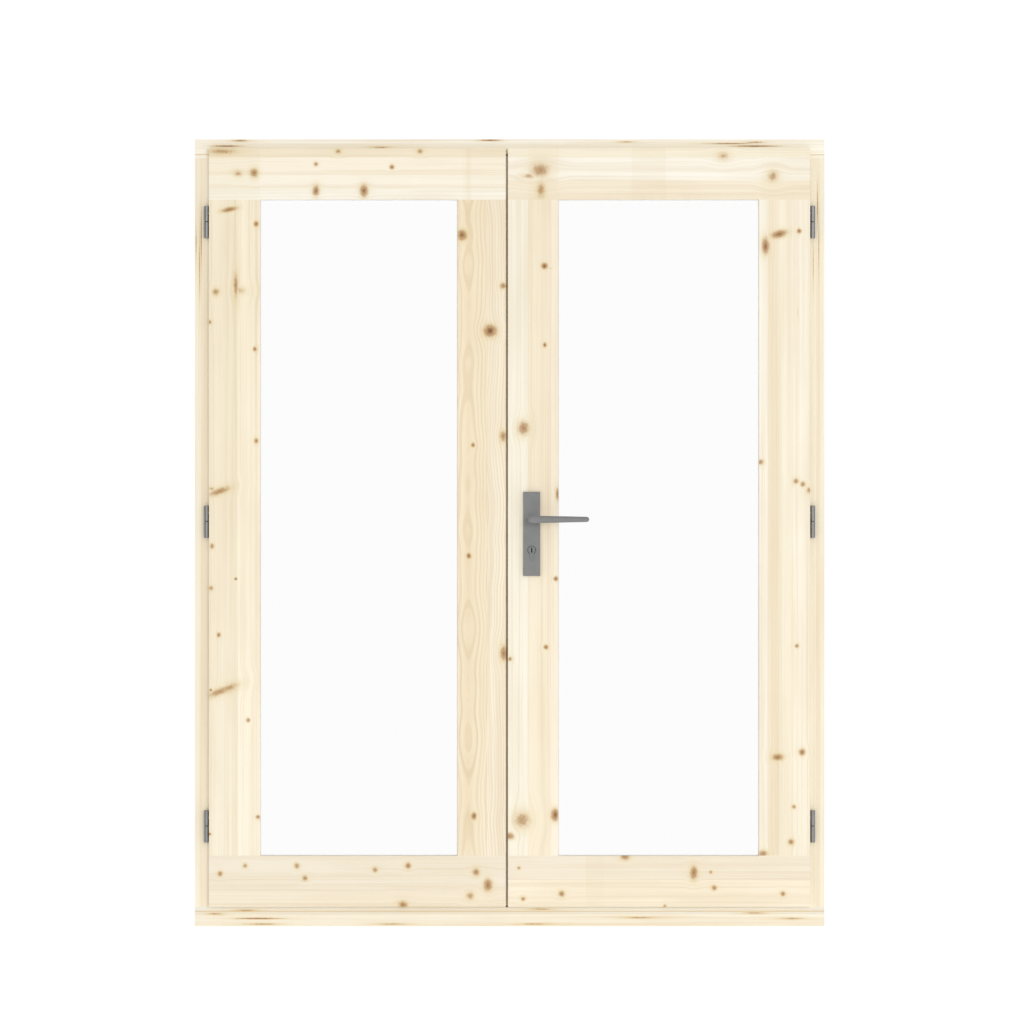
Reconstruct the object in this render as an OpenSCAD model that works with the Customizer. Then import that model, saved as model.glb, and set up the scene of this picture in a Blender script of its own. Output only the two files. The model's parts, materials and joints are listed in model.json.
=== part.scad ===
// Outward-opening double door of laminated spruce, with its frame.
// X runs across the door, Y runs from the outside (-) to the inside (+), Z is up.
// The origin is the centre of the sill's underside. Closed leaves, drawn-back bolts.
// The right leaf is the active one, with the lock. The left leaf is the passive one.

/* [Frame] */
// Overall width of the frame
frame_w = 1485; // [1200:5:2000]
// Overall height of the frame
frame_h = 1855; // [1500:5:2300]
// Depth of the frame from its front to its back
frame_depth = 70; // [60:1:110]
// Width of jamb that shows beside a closed leaf
jamb_show = 34.5; // [30:0.5:60]
// Height of header that shows above the closed leaves
header_show = 22; // [18:0.5:50]
// Height of the sill in front of its stop
sill_front_h = 45; // [35:0.5:60]
// How far the stop stands in from the rebate
stop_step = 10; // [8:0.5:20]
// How far a leaf's lip laps over the face of the frame
lip_over = 13; // [11:0.5:18]
// Diameter of the holes for the screws that fix the frame to the wall
fixing_hole_d = 8; // [6:0.5:10]
// Height of the upper and lower fixing holes, in from each end of a jamb
fixing_inset = 150; // [100:5:250]
// Distance between the two fixing holes about the middle of a jamb
fixing_middle = 520; // [300:5:600]

/* [Leaves] */
// Thickness of a leaf
leaf_t = 42; // [42:1:56]
// Face width of the rails and hinge stiles
member_w = 121; // [100:1:150]
// Face width of the passive leaf's meeting stile
passive_stile_w = 114; // [96:1:150]
// Face width of the active leaf's lock stile
lock_stile_w = 119; // [112:1:150]
// Thickness of the lip in front of the frame
lip_t = 16; // [14:0.5:20]
// Gap between the faces of the two closed leaves
meeting_gap = 5.3; // [3:0.1:7]
// How far the gap lies to the left of the frame's centre line
gap_shift = 6.3; // [0:0.1:20]
// How far the passive leaf's tongue reaches behind the active leaf
tongue_reach = 16; // [15:0.5:20]
// Air between the closed leaves and the faces of the frame's rebate
rebate_air = 3; // [2.5:0.1:4]
// Length of the tenons at the ends of the stiles
tenon_l = 70; // [40:1:80]
// Thickness of the tenons
tenon_t = 12; // [8:0.5:16]

/* [Glazing] */
// Thickness of each pane
pane_t = 4; // [3:1:5]
// Gap between the two panes
spacer_t = 10; // [8:1:12]
// Thickness of the wood in front of the glass
glass_lip_t = 12; // [10:0.5:14]
// Depth of the rebate that holds the glass
glass_rebate = 14; // [12:0.5:18]
// Space between the edge of the glass and the wood
glass_play = 4; // [3:0.5:5]
// Thickness of the sealing tape in front of the glass
tape_t = 2; // [1:0.5:3]
// Chamfer of the wood round the glass
sight_chamfer = 1.5; // [0.5:0.1:3]

/* [Hinges] */
// Outer diameter of the hinge barrels
hinge_d = 11; // [10:0.5:12]
// Diameter of the hinge pins
hinge_pin_d = 6; // [5:0.5:6.5]
// Diameter of the screwed shanks that hold the hinges in the wood
shank_d = 7; // [6:0.5:7.5]
// Height of an upper knuckle
upper_knuckle_h = 36.7; // [30:0.1:45]
// Height of a lower knuckle
lower_knuckle_h = 38.4; // [30:0.1:45]
// Distance from the edge of a leaf to its hinge axis
hinge_side = 6.4; // [6.2:0.1:8]
// Distance from the front of the frame to the hinge axis
hinge_out = 7.5; // [7:0.1:8]
// Depth of the upper hinges below the top of the leaves
hinge_from_top = 172.5; // [120:0.5:250]
// Height of the lower hinges above the bottom of the leaves
hinge_from_bottom = 190.5; // [120:0.5:250]
// How far the middle hinges sit above the middle of the other two
hinge_middle_lift = 5.8; // [0:0.1:60]

/* [Handles] */
// Height of the levers above the frame's underside
handle_z = 959; // [850:1:1100]
// Width of the long plates
plate_w = 40; // [36:0.5:48]
// Height of the long plates
plate_h = 198; // [190:1:240]
// How far the centre of the plates lies below the levers
plate_drop = 34.3; // [30:0.1:40]
// Thickness of the outer plate
outer_plate_t = 8; // [6:0.5:12]
// Thickness of the inner plate
inner_plate_t = 10; // [8:0.5:12]
// Length of a lever from its axis to its tip
lever_l = 135; // [110:1:150]
// Radius of the lever at its hub
lever_hub_r = 9; // [8.5:0.1:11]
// Radius of the lever at its tip
lever_tip_r = 6.1; // [5:0.1:8]
// Distance from the plate to the centre line of the lever
lever_reach = 46; // [40:1:60]
// Side of the square spindle
spindle_w = 8; // [7:1:9]

/* [Lock] */
// Distance from the edge of the lock stile to the spindle
backset = 40; // [36:1:45]
// Height between the spindle and the cylinder
lock_spacing = 72; // [70:1:92]
// Depth of the lock's middle behind the leaf's back face
lock_in = 12.5; // [12:0.1:14]
// Thickness of the lock case
case_t = 15; // [14:0.5:16]
// How far the latch stands out of the faceplate
latch_throw = 11; // [9:0.5:12]
// How far the deadbolt can be thrown
deadbolt_throw = 20; // [12:1:22]

/* [Passive bolts] */
// Diameter of the sliding bolts
bolt_d = 10; // [8:0.5:12]
// Length of the sliding bolts
bolt_l = 240; // [180:5:320]
// Distance from the passive leaf's back to the centre of a bolt
bolt_standoff = 13; // [12:0.5:15]
// How far a bolt can be thrown
bolt_throw = 20; // [12:1:22]

/* [Hidden] */
$fn = 64;
eps = 0.01;
big = 3000;

spruce = [0.965, 0.91, 0.80];
satin_grey = [0.52, 0.52, 0.52];
zinc = [0.72, 0.73, 0.74];
rubber = [0.16, 0.16, 0.17];
glass_tint = [0.85, 0.93, 0.93, 0.35];

// clearances
sliding = 0.2;
running = 0.05;
screw_fit = 0.05;
seal_touch = 0.3;
mortise_air = 0.5;

// places through the depth, front to back
frame_front = -frame_depth / 2;
frame_back = frame_depth / 2;
lip_air = 1;
lip_back = frame_front - lip_air;
leaf_front = lip_back - lip_t;
leaf_back = leaf_front + leaf_t;
seal_gap = 3;
stop_y = leaf_back + seal_gap;
tongue_air = 2.5;
tongue_front = lip_back + tongue_air;
glass_y = leaf_front + glass_lip_t;
pane_y = glass_y + tape_t;
unit_t = 2 * pane_t + spacer_t;
bead_t = leaf_t - glass_lip_t - tape_t - unit_t;
lock_y = leaf_back - lock_in;
tenon_y = (glass_y + leaf_back) / 2;

// places across the width
half_w = frame_w / 2;
lip_x = half_w - jamb_show;
rebate_x = lip_x - lip_over;
stop_x = rebate_x - stop_step;
body_x = rebate_x - rebate_air;
edge_air = 5;
tongue_x = meet_edge(-1) + tongue_reach;
face_x = tongue_x + edge_air;
spindle_x = face_x + backset;
hinge_x = lip_x + hinge_side;
hinge_y = frame_front - hinge_out;

// places up the height
leaf_top = frame_h - header_show;
header_rebate_z = leaf_top - lip_over;
header_in_z = header_rebate_z - stop_step;
sill_top = sill_front_h + stop_step;
bottom_air = 1;
lip_bottom = sill_front_h + bottom_air;
body_bottom = sill_front_h + rebate_air + 0.5;
body_top = header_rebate_z - rebate_air;
sight_top = leaf_top - member_w;
sight_bottom = lip_bottom + member_w;
top_hinge_z = leaf_top - hinge_from_top;
low_hinge_z = lip_bottom + hinge_from_bottom;
mid_hinge_z = (top_hinge_z + low_hinge_z) / 2 + hinge_middle_lift;
hinge_z = [low_hinge_z, mid_hinge_z, top_hinge_z];

// x places on the active leaf (s = 1) or the passive leaf (s = -1)
function meet_edge(s) = -gap_shift + s * meeting_gap / 2;
function meet_body(s) = s > 0 ? face_x : tongue_x;
function stile_w(s) = s > 0 ? lock_stile_w : passive_stile_w;
function hinge_sight(s) = s * (lip_x - member_w);
function meet_sight(s) = meet_edge(s) + s * stile_w(s);

// hardware sizes
knuckle_seam = 1;
ring_play = 0.1;
knuckle_edge = 0.8;
pin_up = 28;
shank_in_jamb = 30;
shank_in_leaf = 40;
shank_down = 20;
screw_d = 5;
plate_screw_pitch = 172;
plate_screw_head = 9;
boss_r = 4;
boss_l = 14;
plate_z = handle_z - plate_drop;
plate_chamfer = 1.5;
neck_r = 8;
spindle_hole_r = 10;
socket_l = 30;
faceplate_w = 20;
faceplate_t = 3;
faceplate_h = 235;
case_wall = 1.5;
case_depth = backset + 25;
case_end = 42;
case_top = handle_z + case_end;
cylinder_z = handle_z - lock_spacing;
case_bottom = cylinder_z - case_end;
case_back_x = face_x + case_depth;
lock_mid_z = (case_top + case_bottom) / 2;
latch_z = handle_z + 20;
latch_w = 11;
latch_h = 16;
hub_r = 9;
arm_w = 6;
arm_r = 16;
lug_gap = 0.3;
lug_w = 7.7;
bolt_z = cylinder_z + 27;
bolt_w = 10;
bolt_h = 20;
profile_r = 8.5;
profile_web = 10;
profile_h = 33;
plug_r = 6.5;
cam_r = 15.5;
cam_gap = 10;
cylinder_out = 1;
inner_half = 27;
outer_half = lock_y - leaf_front + outer_plate_t + cylinder_out;
web_screw_z = cylinder_z - profile_h + profile_r + 4.25;
strike_t = 2;
strike_w = 20;
strike_h = 182;
bolt_x = (meet_edge(-1) + meet_sight(-1)) / 2;
bolt_y = leaf_back + bolt_standoff;
bolt_gap = 2;
keep_t = 2;
keep_w = 22;
keep_l = 46;
keep_front = 9;
keep_play = 2;
guide_plate_t = 2.5;
guide_w = 32;
guide_l = 150;
guide_block = 20;

// ---- helpers ----

// a box between two opposite corners, given in any order
module block(a, b) {
  low = [for (i = [0:2]) min(a[i], b[i])];
  high = [for (i = [0:2]) max(a[i], b[i])];
  translate(low)
    cube(high - low);
}

// a cylinder from a point along +X, +Y or +Z
module rod_x(p, r, l) {
  translate(p)
    rotate([0, 90, 0])
      cylinder(r = r, h = l);
}

module rod_y(p, r, l) {
  translate(p)
    rotate([-90, 0, 0])
      cylinder(r = r, h = l);
}

module rod_z(p, r, l) {
  translate(p)
    cylinder(r = r, h = l);
}

// a countersunk screw along +Z, with its head's face at the origin; grow widens it to make its hole
module screw(d, l, head, grow) {
  head_h = (head - d) / 2;
  translate([0, 0, -eps])
    cylinder(r = d / 2 + grow, h = l + eps);
  translate([0, 0, -grow])
    cylinder(r1 = head / 2 + grow, r2 = d / 2 + grow, h = head_h + grow);
}

// a flat rectangular ring in the XZ plane, between y1 and y2
module ring(x1, x2, z1, z2, y1, y2, w) {
  difference() {
    block([x1, y1, z1], [x2, y2, z2]);
    block([x1 + w, y1 - 1, z1 + w], [x2 - w, y2 + 1, z2 - w]);
  }
}

// ---- frame ----

module header() {
  color(spruce)
    difference() {
      block([-half_w, frame_front, header_in_z], [half_w, frame_back, frame_h]);
      block([-rebate_x, frame_front - 1, header_in_z - 1], [rebate_x, stop_y, header_rebate_z]);
      keep_recess(1);
      frame_screw_set(screw_fit, 1);
    }
}

module sill() {
  color(spruce)
    difference() {
      union() {
        block([-half_w, frame_front, 0], [half_w, frame_back, sill_front_h]);
        block([-rebate_x, stop_y, sill_front_h], [rebate_x, frame_back, sill_top]);
      }
      keep_recess(-1);
      frame_screw_set(screw_fit, -1);
    }
}

module jamb(s) {
  difference() {
    union() {
      block([s * half_w, frame_front, sill_front_h], [s * rebate_x, frame_back, header_in_z]);
      block([s * half_w, stop_y, sill_top], [s * stop_x, frame_back, header_in_z]);
    }
    for (z = hinge_z)
      rod_y([s * hinge_x, frame_front - 1, z - shank_down], shank_d / 2 + screw_fit, shank_in_jamb + 2);
    for (z = fixing_z())
      rod_x([min(s * half_w, s * stop_x) - 1, fixing_y(), z], fixing_hole_d / 2, jamb_t() + 2);
    frame_screw_set(screw_fit, 1);
    frame_screw_set(screw_fit, -1);
  }
}

function jamb_t() = half_w - stop_x;
function fixing_y() = (frame_front + stop_y) / 2;
function fixing_z() = [
  sill_front_h + fixing_inset,
  jamb_mid_z() - fixing_middle / 2,
  jamb_mid_z() + fixing_middle / 2,
  header_in_z - fixing_inset
];
function jamb_mid_z() = (sill_front_h + header_in_z) / 2;

module left_jamb() {
  color(spruce)
    jamb(-1);
}

module right_jamb() {
  color(spruce)
    jamb(1);
}

// the screws that hold the header (s = 1) or the sill (s = -1) to the ends of the jambs
frame_screw_l = 95;
frame_screw_in = 20;
frame_screw_y = 17;
module frame_screw_set(grow, s) {
  z = s > 0 ? frame_h : 0;
  for (side = [-1, 1], y = [-frame_screw_y, frame_screw_y])
    translate([side * (half_w - frame_screw_in), y, z])
      rotate([s > 0 ? 180 : 0, 0, 0])
        screw(screw_d, frame_screw_l, plate_screw_head, grow);
}

module frame_screws() {
  color(zinc) {
    intersection() {
      frame_screw_set(0, 1);
      block([-big, -big, 0], [big, big, frame_h]);
    }
    intersection() {
      frame_screw_set(0, -1);
      block([-big, -big, 0], [big, big, frame_h]);
    }
  }
}

// a rubber seal on the stop, all round, that the backs of the leaves close against
seal_in = 1;
module frame_seal() {
  x = rebate_x - seal_in;
  color(rubber)
    ring(-x, x, sill_front_h + seal_in, header_rebate_z - seal_in,
         leaf_back + seal_touch, stop_y, stop_step - 2 * seal_in);
}

// the bolt keeps are let into the header (s = 1) and the sill (s = -1)
module keep_recess(s) {
  z = s > 0 ? header_in_z : sill_top;
  block([bolt_x - keep_l / 2, bolt_y - keep_front, z - s],
        [bolt_x + keep_l / 2, bolt_y + keep_w - keep_front, z + s * keep_t]);
  keep_hole(z, z + s * (bolt_throw + 4));
}

// the square hole that a sliding bolt goes into
module keep_hole(z1, z2) {
  r = bolt_d / 2 + keep_play;
  block([bolt_x - r, bolt_y - r, z1], [bolt_x + r, bolt_y + r, z2]);
}

module bolt_keeps() {
  color(satin_grey)
    for (s = [-1, 1]) {
      z = s > 0 ? header_in_z : sill_top;
      difference() {
        block([bolt_x - keep_l / 2, bolt_y - keep_front, z],
              [bolt_x + keep_l / 2, bolt_y + keep_w - keep_front, z + s * keep_t]);
        keep_hole(z - keep_t - 1, z + keep_t + 1);
      }
    }
}

// ---- leaves ----

// the outer form of a leaf before the glass opening is cut
module leaf_blank(s) {
  block([hinge_edge(s), leaf_front, lip_bottom], [meet_edge(s), lip_back, leaf_top]);
  if (s > 0)
    block([body_x, lip_back, body_bottom], [face_x, leaf_back, body_top]);
  else {
    block([-body_x, lip_back, body_bottom], [meet_edge(-1), leaf_back, body_top]);
    block([meet_edge(-1) - eps, tongue_front, body_bottom], [tongue_x, leaf_back, body_top]);
  }
}

function hinge_edge(s) = s * lip_x;

// a rail keeps the wood beyond the sight edge in front of the glass, and beyond the rebate behind it
module rail(s, up) {
  sight = up > 0 ? sight_top : sight_bottom;
  difference() {
    intersection() {
      leaf_blank(s);
      union() {
        block([-big, leaf_front, sight], [big, glass_y, up * big]);
        block([-big, glass_y, sight + up * glass_rebate], [big, leaf_back, up * big]);
      }
    }
    tenons(s, -1, up);
    tenons(s, 1, up);
    sight_bevel_x(s, sight, up);
  }
}

// the stiles run between the rails: side is -1 for the meeting side and 1 for the hinge side
module stile(s, side) {
  edge = side > 0 ? s * (lip_x + 1) : meet_body(s) - s * tongue_reach * 2;
  sight = side > 0 ? hinge_sight(s) : meet_sight(s);
  out = side * s;
  union() {
    difference() {
      intersection() {
        leaf_blank(s);
        union() {
          block([edge, leaf_front, sight_bottom], [sight, glass_y, sight_top]);
          block([edge, glass_y, sight_bottom - glass_rebate],
                [sight + out * glass_rebate, leaf_back, sight_top + glass_rebate]);
        }
      }
      sight_bevel_z(sight, out);
    }
    tenons(s, side, 1);
    tenons(s, side, -1);
  }
}

// the tenon at one end of a stile
tenon_shoulder = 15;
module tenons(s, side, up) {
  sight = side > 0 ? hinge_sight(s) : meet_sight(s);
  body = side > 0 ? s * body_x : meet_body(s);
  out = side * s;
  z = up > 0 ? sight_top + glass_rebate : sight_bottom - glass_rebate;
  block([sight + out * (glass_rebate + tenon_shoulder), tenon_y - tenon_t / 2, z],
        [body - out * tenon_shoulder, tenon_y + tenon_t / 2, z + up * tenon_l]);
}

// the small chamfers on the front edges of the glass opening
module sight_bevel_x(s, sight, up) {
  x1 = min(hinge_sight(s), meet_sight(s));
  x2 = max(hinge_sight(s), meet_sight(s));
  translate([x1, leaf_front, sight])
    rotate([45, 0, 0])
      translate([0, -sight_chamfer / sqrt(2), -sight_chamfer / sqrt(2)])
        cube([x2 - x1, sqrt(2) * sight_chamfer, sqrt(2) * sight_chamfer]);
}

module sight_bevel_z(sight, out) {
  translate([sight, leaf_front, sight_bottom])
    rotate([0, 0, 45])
      translate([-sight_chamfer / sqrt(2), -sight_chamfer / sqrt(2), 0])
        cube([sqrt(2) * sight_chamfer, sqrt(2) * sight_chamfer, sight_top - sight_bottom]);
}

module hinge_stile(s) {
  difference() {
    stile(s, 1);
    for (z = hinge_z)
      leaf_shank(s, z, shank_d / 2 + screw_fit, shank_in_leaf + 1);
  }
}

module passive_hinge_stile() {
  color(spruce)
    hinge_stile(-1);
}

module active_hinge_stile() {
  color(spruce)
    hinge_stile(1);
}

module passive_meeting_stile() {
  color(spruce)
    difference() {
      stile(-1, -1);
      strike_plate_body(0);
      strike_pockets(tongue_x - 1);
      passive_screw_set(screw_fit);
    }
}

module active_lock_stile() {
  y_mid = (leaf_front + leaf_back) / 2;
  color(spruce)
    difference() {
      stile(1, -1);
      block([face_x - 1, lock_y - faceplate_w / 2, lock_mid_z - faceplate_h / 2],
            [face_x + faceplate_t, lock_y + faceplate_w / 2, lock_mid_z + faceplate_h / 2]);
      block([face_x, lock_y - case_t / 2 - mortise_air, case_bottom - mortise_air],
            [case_back_x + mortise_air, lock_y + case_t / 2 + mortise_air, case_top + mortise_air]);
      rod_y([spindle_x, leaf_front - 1, handle_z], spindle_hole_r, leaf_t + 2);
      euro_profile(leaf_front - 1, leaf_back + 1, mortise_air);
      for (z = plate_screw_z())
        rod_y([spindle_x, leaf_front - 1, z], boss_r + sliding, leaf_t + 2);
      lock_screw_set(screw_fit);
    }
}

module passive_top_rail() {
  color(spruce)
    difference() {
      rail(-1, 1);
      passive_screw_set(screw_fit);
    }
}

module passive_bottom_rail() {
  color(spruce)
    difference() {
      rail(-1, -1);
      passive_screw_set(screw_fit);
    }
}

module active_top_rail() {
  color(spruce)
    rail(1, 1);
}

module active_bottom_rail() {
  color(spruce)
    rail(1, -1);
}

// ---- glazing ----

// the edges of the glass opening, grown by g on every side
function open_x1(s, g) = min(hinge_sight(s), meet_sight(s)) - g;
function open_x2(s, g) = max(hinge_sight(s), meet_sight(s)) + g;
function open_z1(g) = sight_bottom - g;
function open_z2(g) = sight_top + g;

glass_bite = glass_rebate - glass_play;
spacer_hidden = 1;

module panes(s) {
  for (y = [pane_y, pane_y + pane_t + spacer_t])
    block([open_x1(s, glass_bite), y, open_z1(glass_bite)],
          [open_x2(s, glass_bite), y + pane_t, open_z2(glass_bite)]);
}

module edge_ring(s, y1, y2) {
  ring(open_x1(s, glass_bite), open_x2(s, glass_bite), open_z1(glass_bite), open_z2(glass_bite),
       y1, y2, glass_bite - spacer_hidden);
}

// one wooden bead, lying along X with mitred ends
bead_chamfer = 5;
module bead_run(l) {
  w = glass_rebate;
  intersection() {
    rotate([90, 0, 90])
      linear_extrude(l)
        polygon([[0, 0], [w - bead_chamfer, 0], [w, bead_chamfer], [w, bead_t], [0, bead_t]]);
    linear_extrude(bead_t)
      polygon([[0, 0], [l, 0], [l - w, w], [w, w]]);
  }
}

module bead_ring(s) {
  x1 = open_x1(s, glass_rebate);
  x2 = open_x2(s, glass_rebate);
  z1 = open_z1(glass_rebate);
  z2 = open_z2(glass_rebate);
  runs = [[x1, z1, x2 - x1], [x2, z1, z2 - z1], [x2, z2, x2 - x1], [x1, z2, z2 - z1]];
  translate([0, leaf_back, 0])
    rotate([90, 0, 0])
      for (i = [0:3])
        translate([runs[i][0], runs[i][1], 0])
          rotate(90 * i)
            bead_run(runs[i][2]);
}

// plastic blocks that carry and centre the glass in its rebate
block_l = 80;
module setting_blocks(s) {
  x1 = open_x1(s, glass_rebate);
  x2 = open_x2(s, glass_rebate);
  z1 = open_z1(glass_rebate);
  z2 = open_z2(glass_rebate);
  inset = 60;
  for (x = [x1 + inset, x2 - inset - block_l])
    block([x, pane_y, z1], [x + block_l, pane_y + unit_t, z1 + glass_play]);
  hinge_side_x = s > 0 ? x2 : x1;
  meet_side_x = s > 0 ? x1 : x2;
  block([hinge_side_x, pane_y, z1 + inset],
        [hinge_side_x - s * glass_play, pane_y + unit_t, z1 + inset + block_l]);
  block([meet_side_x, pane_y, z2 - inset],
        [meet_side_x + s * glass_play, pane_y + unit_t, z2 - inset - block_l]);
}

module passive_panes() {
  color(glass_tint)
    panes(-1);
}

module active_panes() {
  color(glass_tint)
    panes(1);
}

module passive_spacer() {
  color(zinc)
    edge_ring(-1, pane_y + pane_t, pane_y + pane_t + spacer_t);
}

module active_spacer() {
  color(zinc)
    edge_ring(1, pane_y + pane_t, pane_y + pane_t + spacer_t);
}

module passive_tape() {
  color(rubber)
    edge_ring(-1, glass_y, pane_y);
}

module active_tape() {
  color(rubber)
    edge_ring(1, glass_y, pane_y);
}

module passive_beads() {
  color(spruce)
    bead_ring(-1);
}

module active_beads() {
  color(spruce)
    bead_ring(1);
}

module passive_blocks() {
  color(rubber)
    setting_blocks(-1);
}

module active_blocks() {
  color(rubber)
    setting_blocks(1);
}

// the seal on the front of the tongue, behind the active leaf's lip
meeting_seal_x = meet_edge(1) + 0.5;
meeting_seal_w = 4;
module meeting_seal() {
  color(rubber)
    block([meeting_seal_x, lip_back + seal_touch, lip_bottom],
          [meeting_seal_x + meeting_seal_w, tongue_front, body_top - 1]);
}

// ---- hinges ----

// a barrel with softened ends, standing on the origin
module barrel(h) {
  r = hinge_d / 2;
  e = knuckle_edge;
  rotate_extrude()
    polygon([[0, 0], [r - e, 0], [r, e], [r, h - e], [r - e, h], [0, h]]);
}

// the lower knuckle: barrel and pin, with a shank screwed into the jamb
module frame_knuckle(s, z) {
  top = z - knuckle_seam / 2;
  translate([s * hinge_x, hinge_y, top - lower_knuckle_h])
    barrel(lower_knuckle_h);
  rod_z([s * hinge_x, hinge_y, top - 1], hinge_pin_d / 2, pin_up + 1);
  rod_y([s * hinge_x, hinge_y, z - shank_down], shank_d / 2, hinge_out + shank_in_jamb);
}

// the upper knuckle: barrel with a blind bore, and a shank screwed into the edge of the leaf
module leaf_knuckle(s, z) {
  bottom = z + knuckle_seam / 2 + ring_play;
  difference() {
    union() {
      translate([s * hinge_x, hinge_y, bottom])
        barrel(upper_knuckle_h);
      leaf_shank(s, z, shank_d / 2, shank_in_leaf);
    }
    rod_z([s * hinge_x, hinge_y, bottom - 1], hinge_pin_d / 2 + running, pin_up + 2);
  }
}

module leaf_shank(s, z, r, l) {
  out = hinge_x - hinge_d / 2 + 1;
  rod_x([s > 0 ? lip_x - l : -out, hinge_y, z + shank_down], r, l + out - lip_x);
}

// thin bearing rings between the knuckles
module hinge_rings() {
  color(rubber)
    for (s = [-1, 1], z = hinge_z)
      difference() {
        rod_z([s * hinge_x, hinge_y, z - knuckle_seam / 2], hinge_d / 2 - knuckle_edge, knuckle_seam);
        rod_z([s * hinge_x, hinge_y, z - knuckle_seam], hinge_pin_d / 2 + running, 2 * knuckle_seam);
      }
}

module frame_knuckle_left_low() {
  color(satin_grey)
    frame_knuckle(-1, low_hinge_z);
}

module frame_knuckle_left_mid() {
  color(satin_grey)
    frame_knuckle(-1, mid_hinge_z);
}

module frame_knuckle_left_top() {
  color(satin_grey)
    frame_knuckle(-1, top_hinge_z);
}

module frame_knuckle_right_low() {
  color(satin_grey)
    frame_knuckle(1, low_hinge_z);
}

module frame_knuckle_right_mid() {
  color(satin_grey)
    frame_knuckle(1, mid_hinge_z);
}

module frame_knuckle_right_top() {
  color(satin_grey)
    frame_knuckle(1, top_hinge_z);
}

module leaf_knuckle_left_low() {
  color(satin_grey)
    leaf_knuckle(-1, low_hinge_z);
}

module leaf_knuckle_left_mid() {
  color(satin_grey)
    leaf_knuckle(-1, mid_hinge_z);
}

module leaf_knuckle_left_top() {
  color(satin_grey)
    leaf_knuckle(-1, top_hinge_z);
}

module leaf_knuckle_right_low() {
  color(satin_grey)
    leaf_knuckle(1, low_hinge_z);
}

module leaf_knuckle_right_mid() {
  color(satin_grey)
    leaf_knuckle(1, mid_hinge_z);
}

module leaf_knuckle_right_top() {
  color(satin_grey)
    leaf_knuckle(1, top_hinge_z);
}

// ---- lock ----

// the outline of a profile cylinder between two depths, grown by g
module euro_profile(y1, y2, g) {
  foot = profile_h - profile_r - profile_web / 2;
  rod_y([spindle_x, y1, cylinder_z], profile_r + g, y2 - y1);
  block([spindle_x - profile_web / 2 - g, y1, cylinder_z - foot],
        [spindle_x + profile_web / 2 + g, y2, cylinder_z]);
  rod_y([spindle_x, y1, cylinder_z - foot], profile_web / 2 + g, y2 - y1);
}

module latch_window(x1, x2, g) {
  block([x1, lock_y - latch_w / 2 - g, latch_z - latch_h / 2 - g],
        [x2, lock_y + latch_w / 2 + g, latch_z + latch_h / 2 + g]);
}

module deadbolt_window(x1, x2, g) {
  block([x1, lock_y - bolt_w / 2 - g, bolt_z - bolt_h / 2 - g],
        [x2, lock_y + bolt_w / 2 + g, bolt_z + bolt_h / 2 + g]);
}

module lock_case() {
  front = face_x + faceplate_t;
  w = case_wall;
  color(zinc)
    difference() {
      block([front, lock_y - case_t / 2, case_bottom], [case_back_x, lock_y + case_t / 2, case_top]);
      block([front - 1, lock_y - case_t / 2 + w, case_bottom + w],
            [case_back_x - w, lock_y + case_t / 2 - w, case_top - w]);
      rod_y([spindle_x, lock_y - case_t, handle_z], hub_r + running, 2 * case_t);
      euro_profile(lock_y - case_t, lock_y + case_t, sliding);
    }
}

module faceplate() {
  color(zinc)
    difference() {
      block([face_x, lock_y - faceplate_w / 2, lock_mid_z - faceplate_h / 2],
            [face_x + faceplate_t, lock_y + faceplate_w / 2, lock_mid_z + faceplate_h / 2]);
      latch_window(face_x - 1, face_x + faceplate_t + 1, sliding);
      deadbolt_window(face_x - 1, face_x + faceplate_t + 1, sliding);
      lock_screw_set(screw_fit);
    }
}

// two wood screws through the faceplate, and the long screw that holds the cylinder
faceplate_screw_in = 10;
faceplate_screw_l = 35;
faceplate_head = 8;
module lock_screw_set(grow) {
  for (side = [-1, 1])
    translate([face_x, lock_y, lock_mid_z + side * (faceplate_h / 2 - faceplate_screw_in)])
      rotate([0, 90, 0])
        screw(4, faceplate_screw_l, faceplate_head, grow);
  translate([face_x, lock_y, web_screw_z])
    rotate([0, 90, 0])
      screw(screw_d, backset + 4, faceplate_head, grow);
}

module lock_screws() {
  color(zinc)
    intersection() {
      lock_screw_set(0);
      block([face_x, -big, 0], [big, big, big]);
    }
}

// the latch head is bevelled on the side that meets the strike as the leaf closes
latch_head_l = 14;
tail_t = 4;
tail_low = 17;
tail_high = 25;
lug_low = 10;
module latch_bolt() {
  tip = face_x - latch_throw;
  lug_x = spindle_x + arm_w / 2 + lug_gap;
  front = lock_y - latch_w / 2;
  back = lock_y + latch_w / 2;
  color(zinc)
    union() {
      translate([0, 0, latch_z - latch_h / 2])
        linear_extrude(latch_h)
          polygon([
            [tip, front], [face_x + latch_head_l, front], [face_x + latch_head_l, back],
            [face_x - 1, back], [tip, front + 2.5]
          ]);
      block([face_x + latch_head_l - 1, lock_y - tail_t / 2, handle_z + tail_low],
            [lug_x + lug_w, lock_y + tail_t / 2, handle_z + tail_high]);
      block([lug_x, lock_y - tail_t / 2, handle_z + lug_low],
            [lug_x + lug_w, lock_y + tail_t / 2, handle_z + tail_low + 1]);
    }
}

bolt_head_l = 38;
bolt_tail_l = 20;
bolt_set_back = 0.5;
module deadbolt() {
  x1 = face_x + bolt_set_back;
  color(zinc)
    union() {
      block([x1, lock_y - bolt_w / 2, bolt_z - bolt_h / 2],
            [x1 + bolt_head_l, lock_y + bolt_w / 2, bolt_z + bolt_h / 2]);
      block([x1 + bolt_head_l - 1, lock_y - tail_t / 2, bolt_z - bolt_h / 2 + 3],
            [x1 + bolt_head_l + bolt_tail_l, lock_y + tail_t / 2, bolt_z + bolt_h / 2 - 3]);
    }
}

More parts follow.
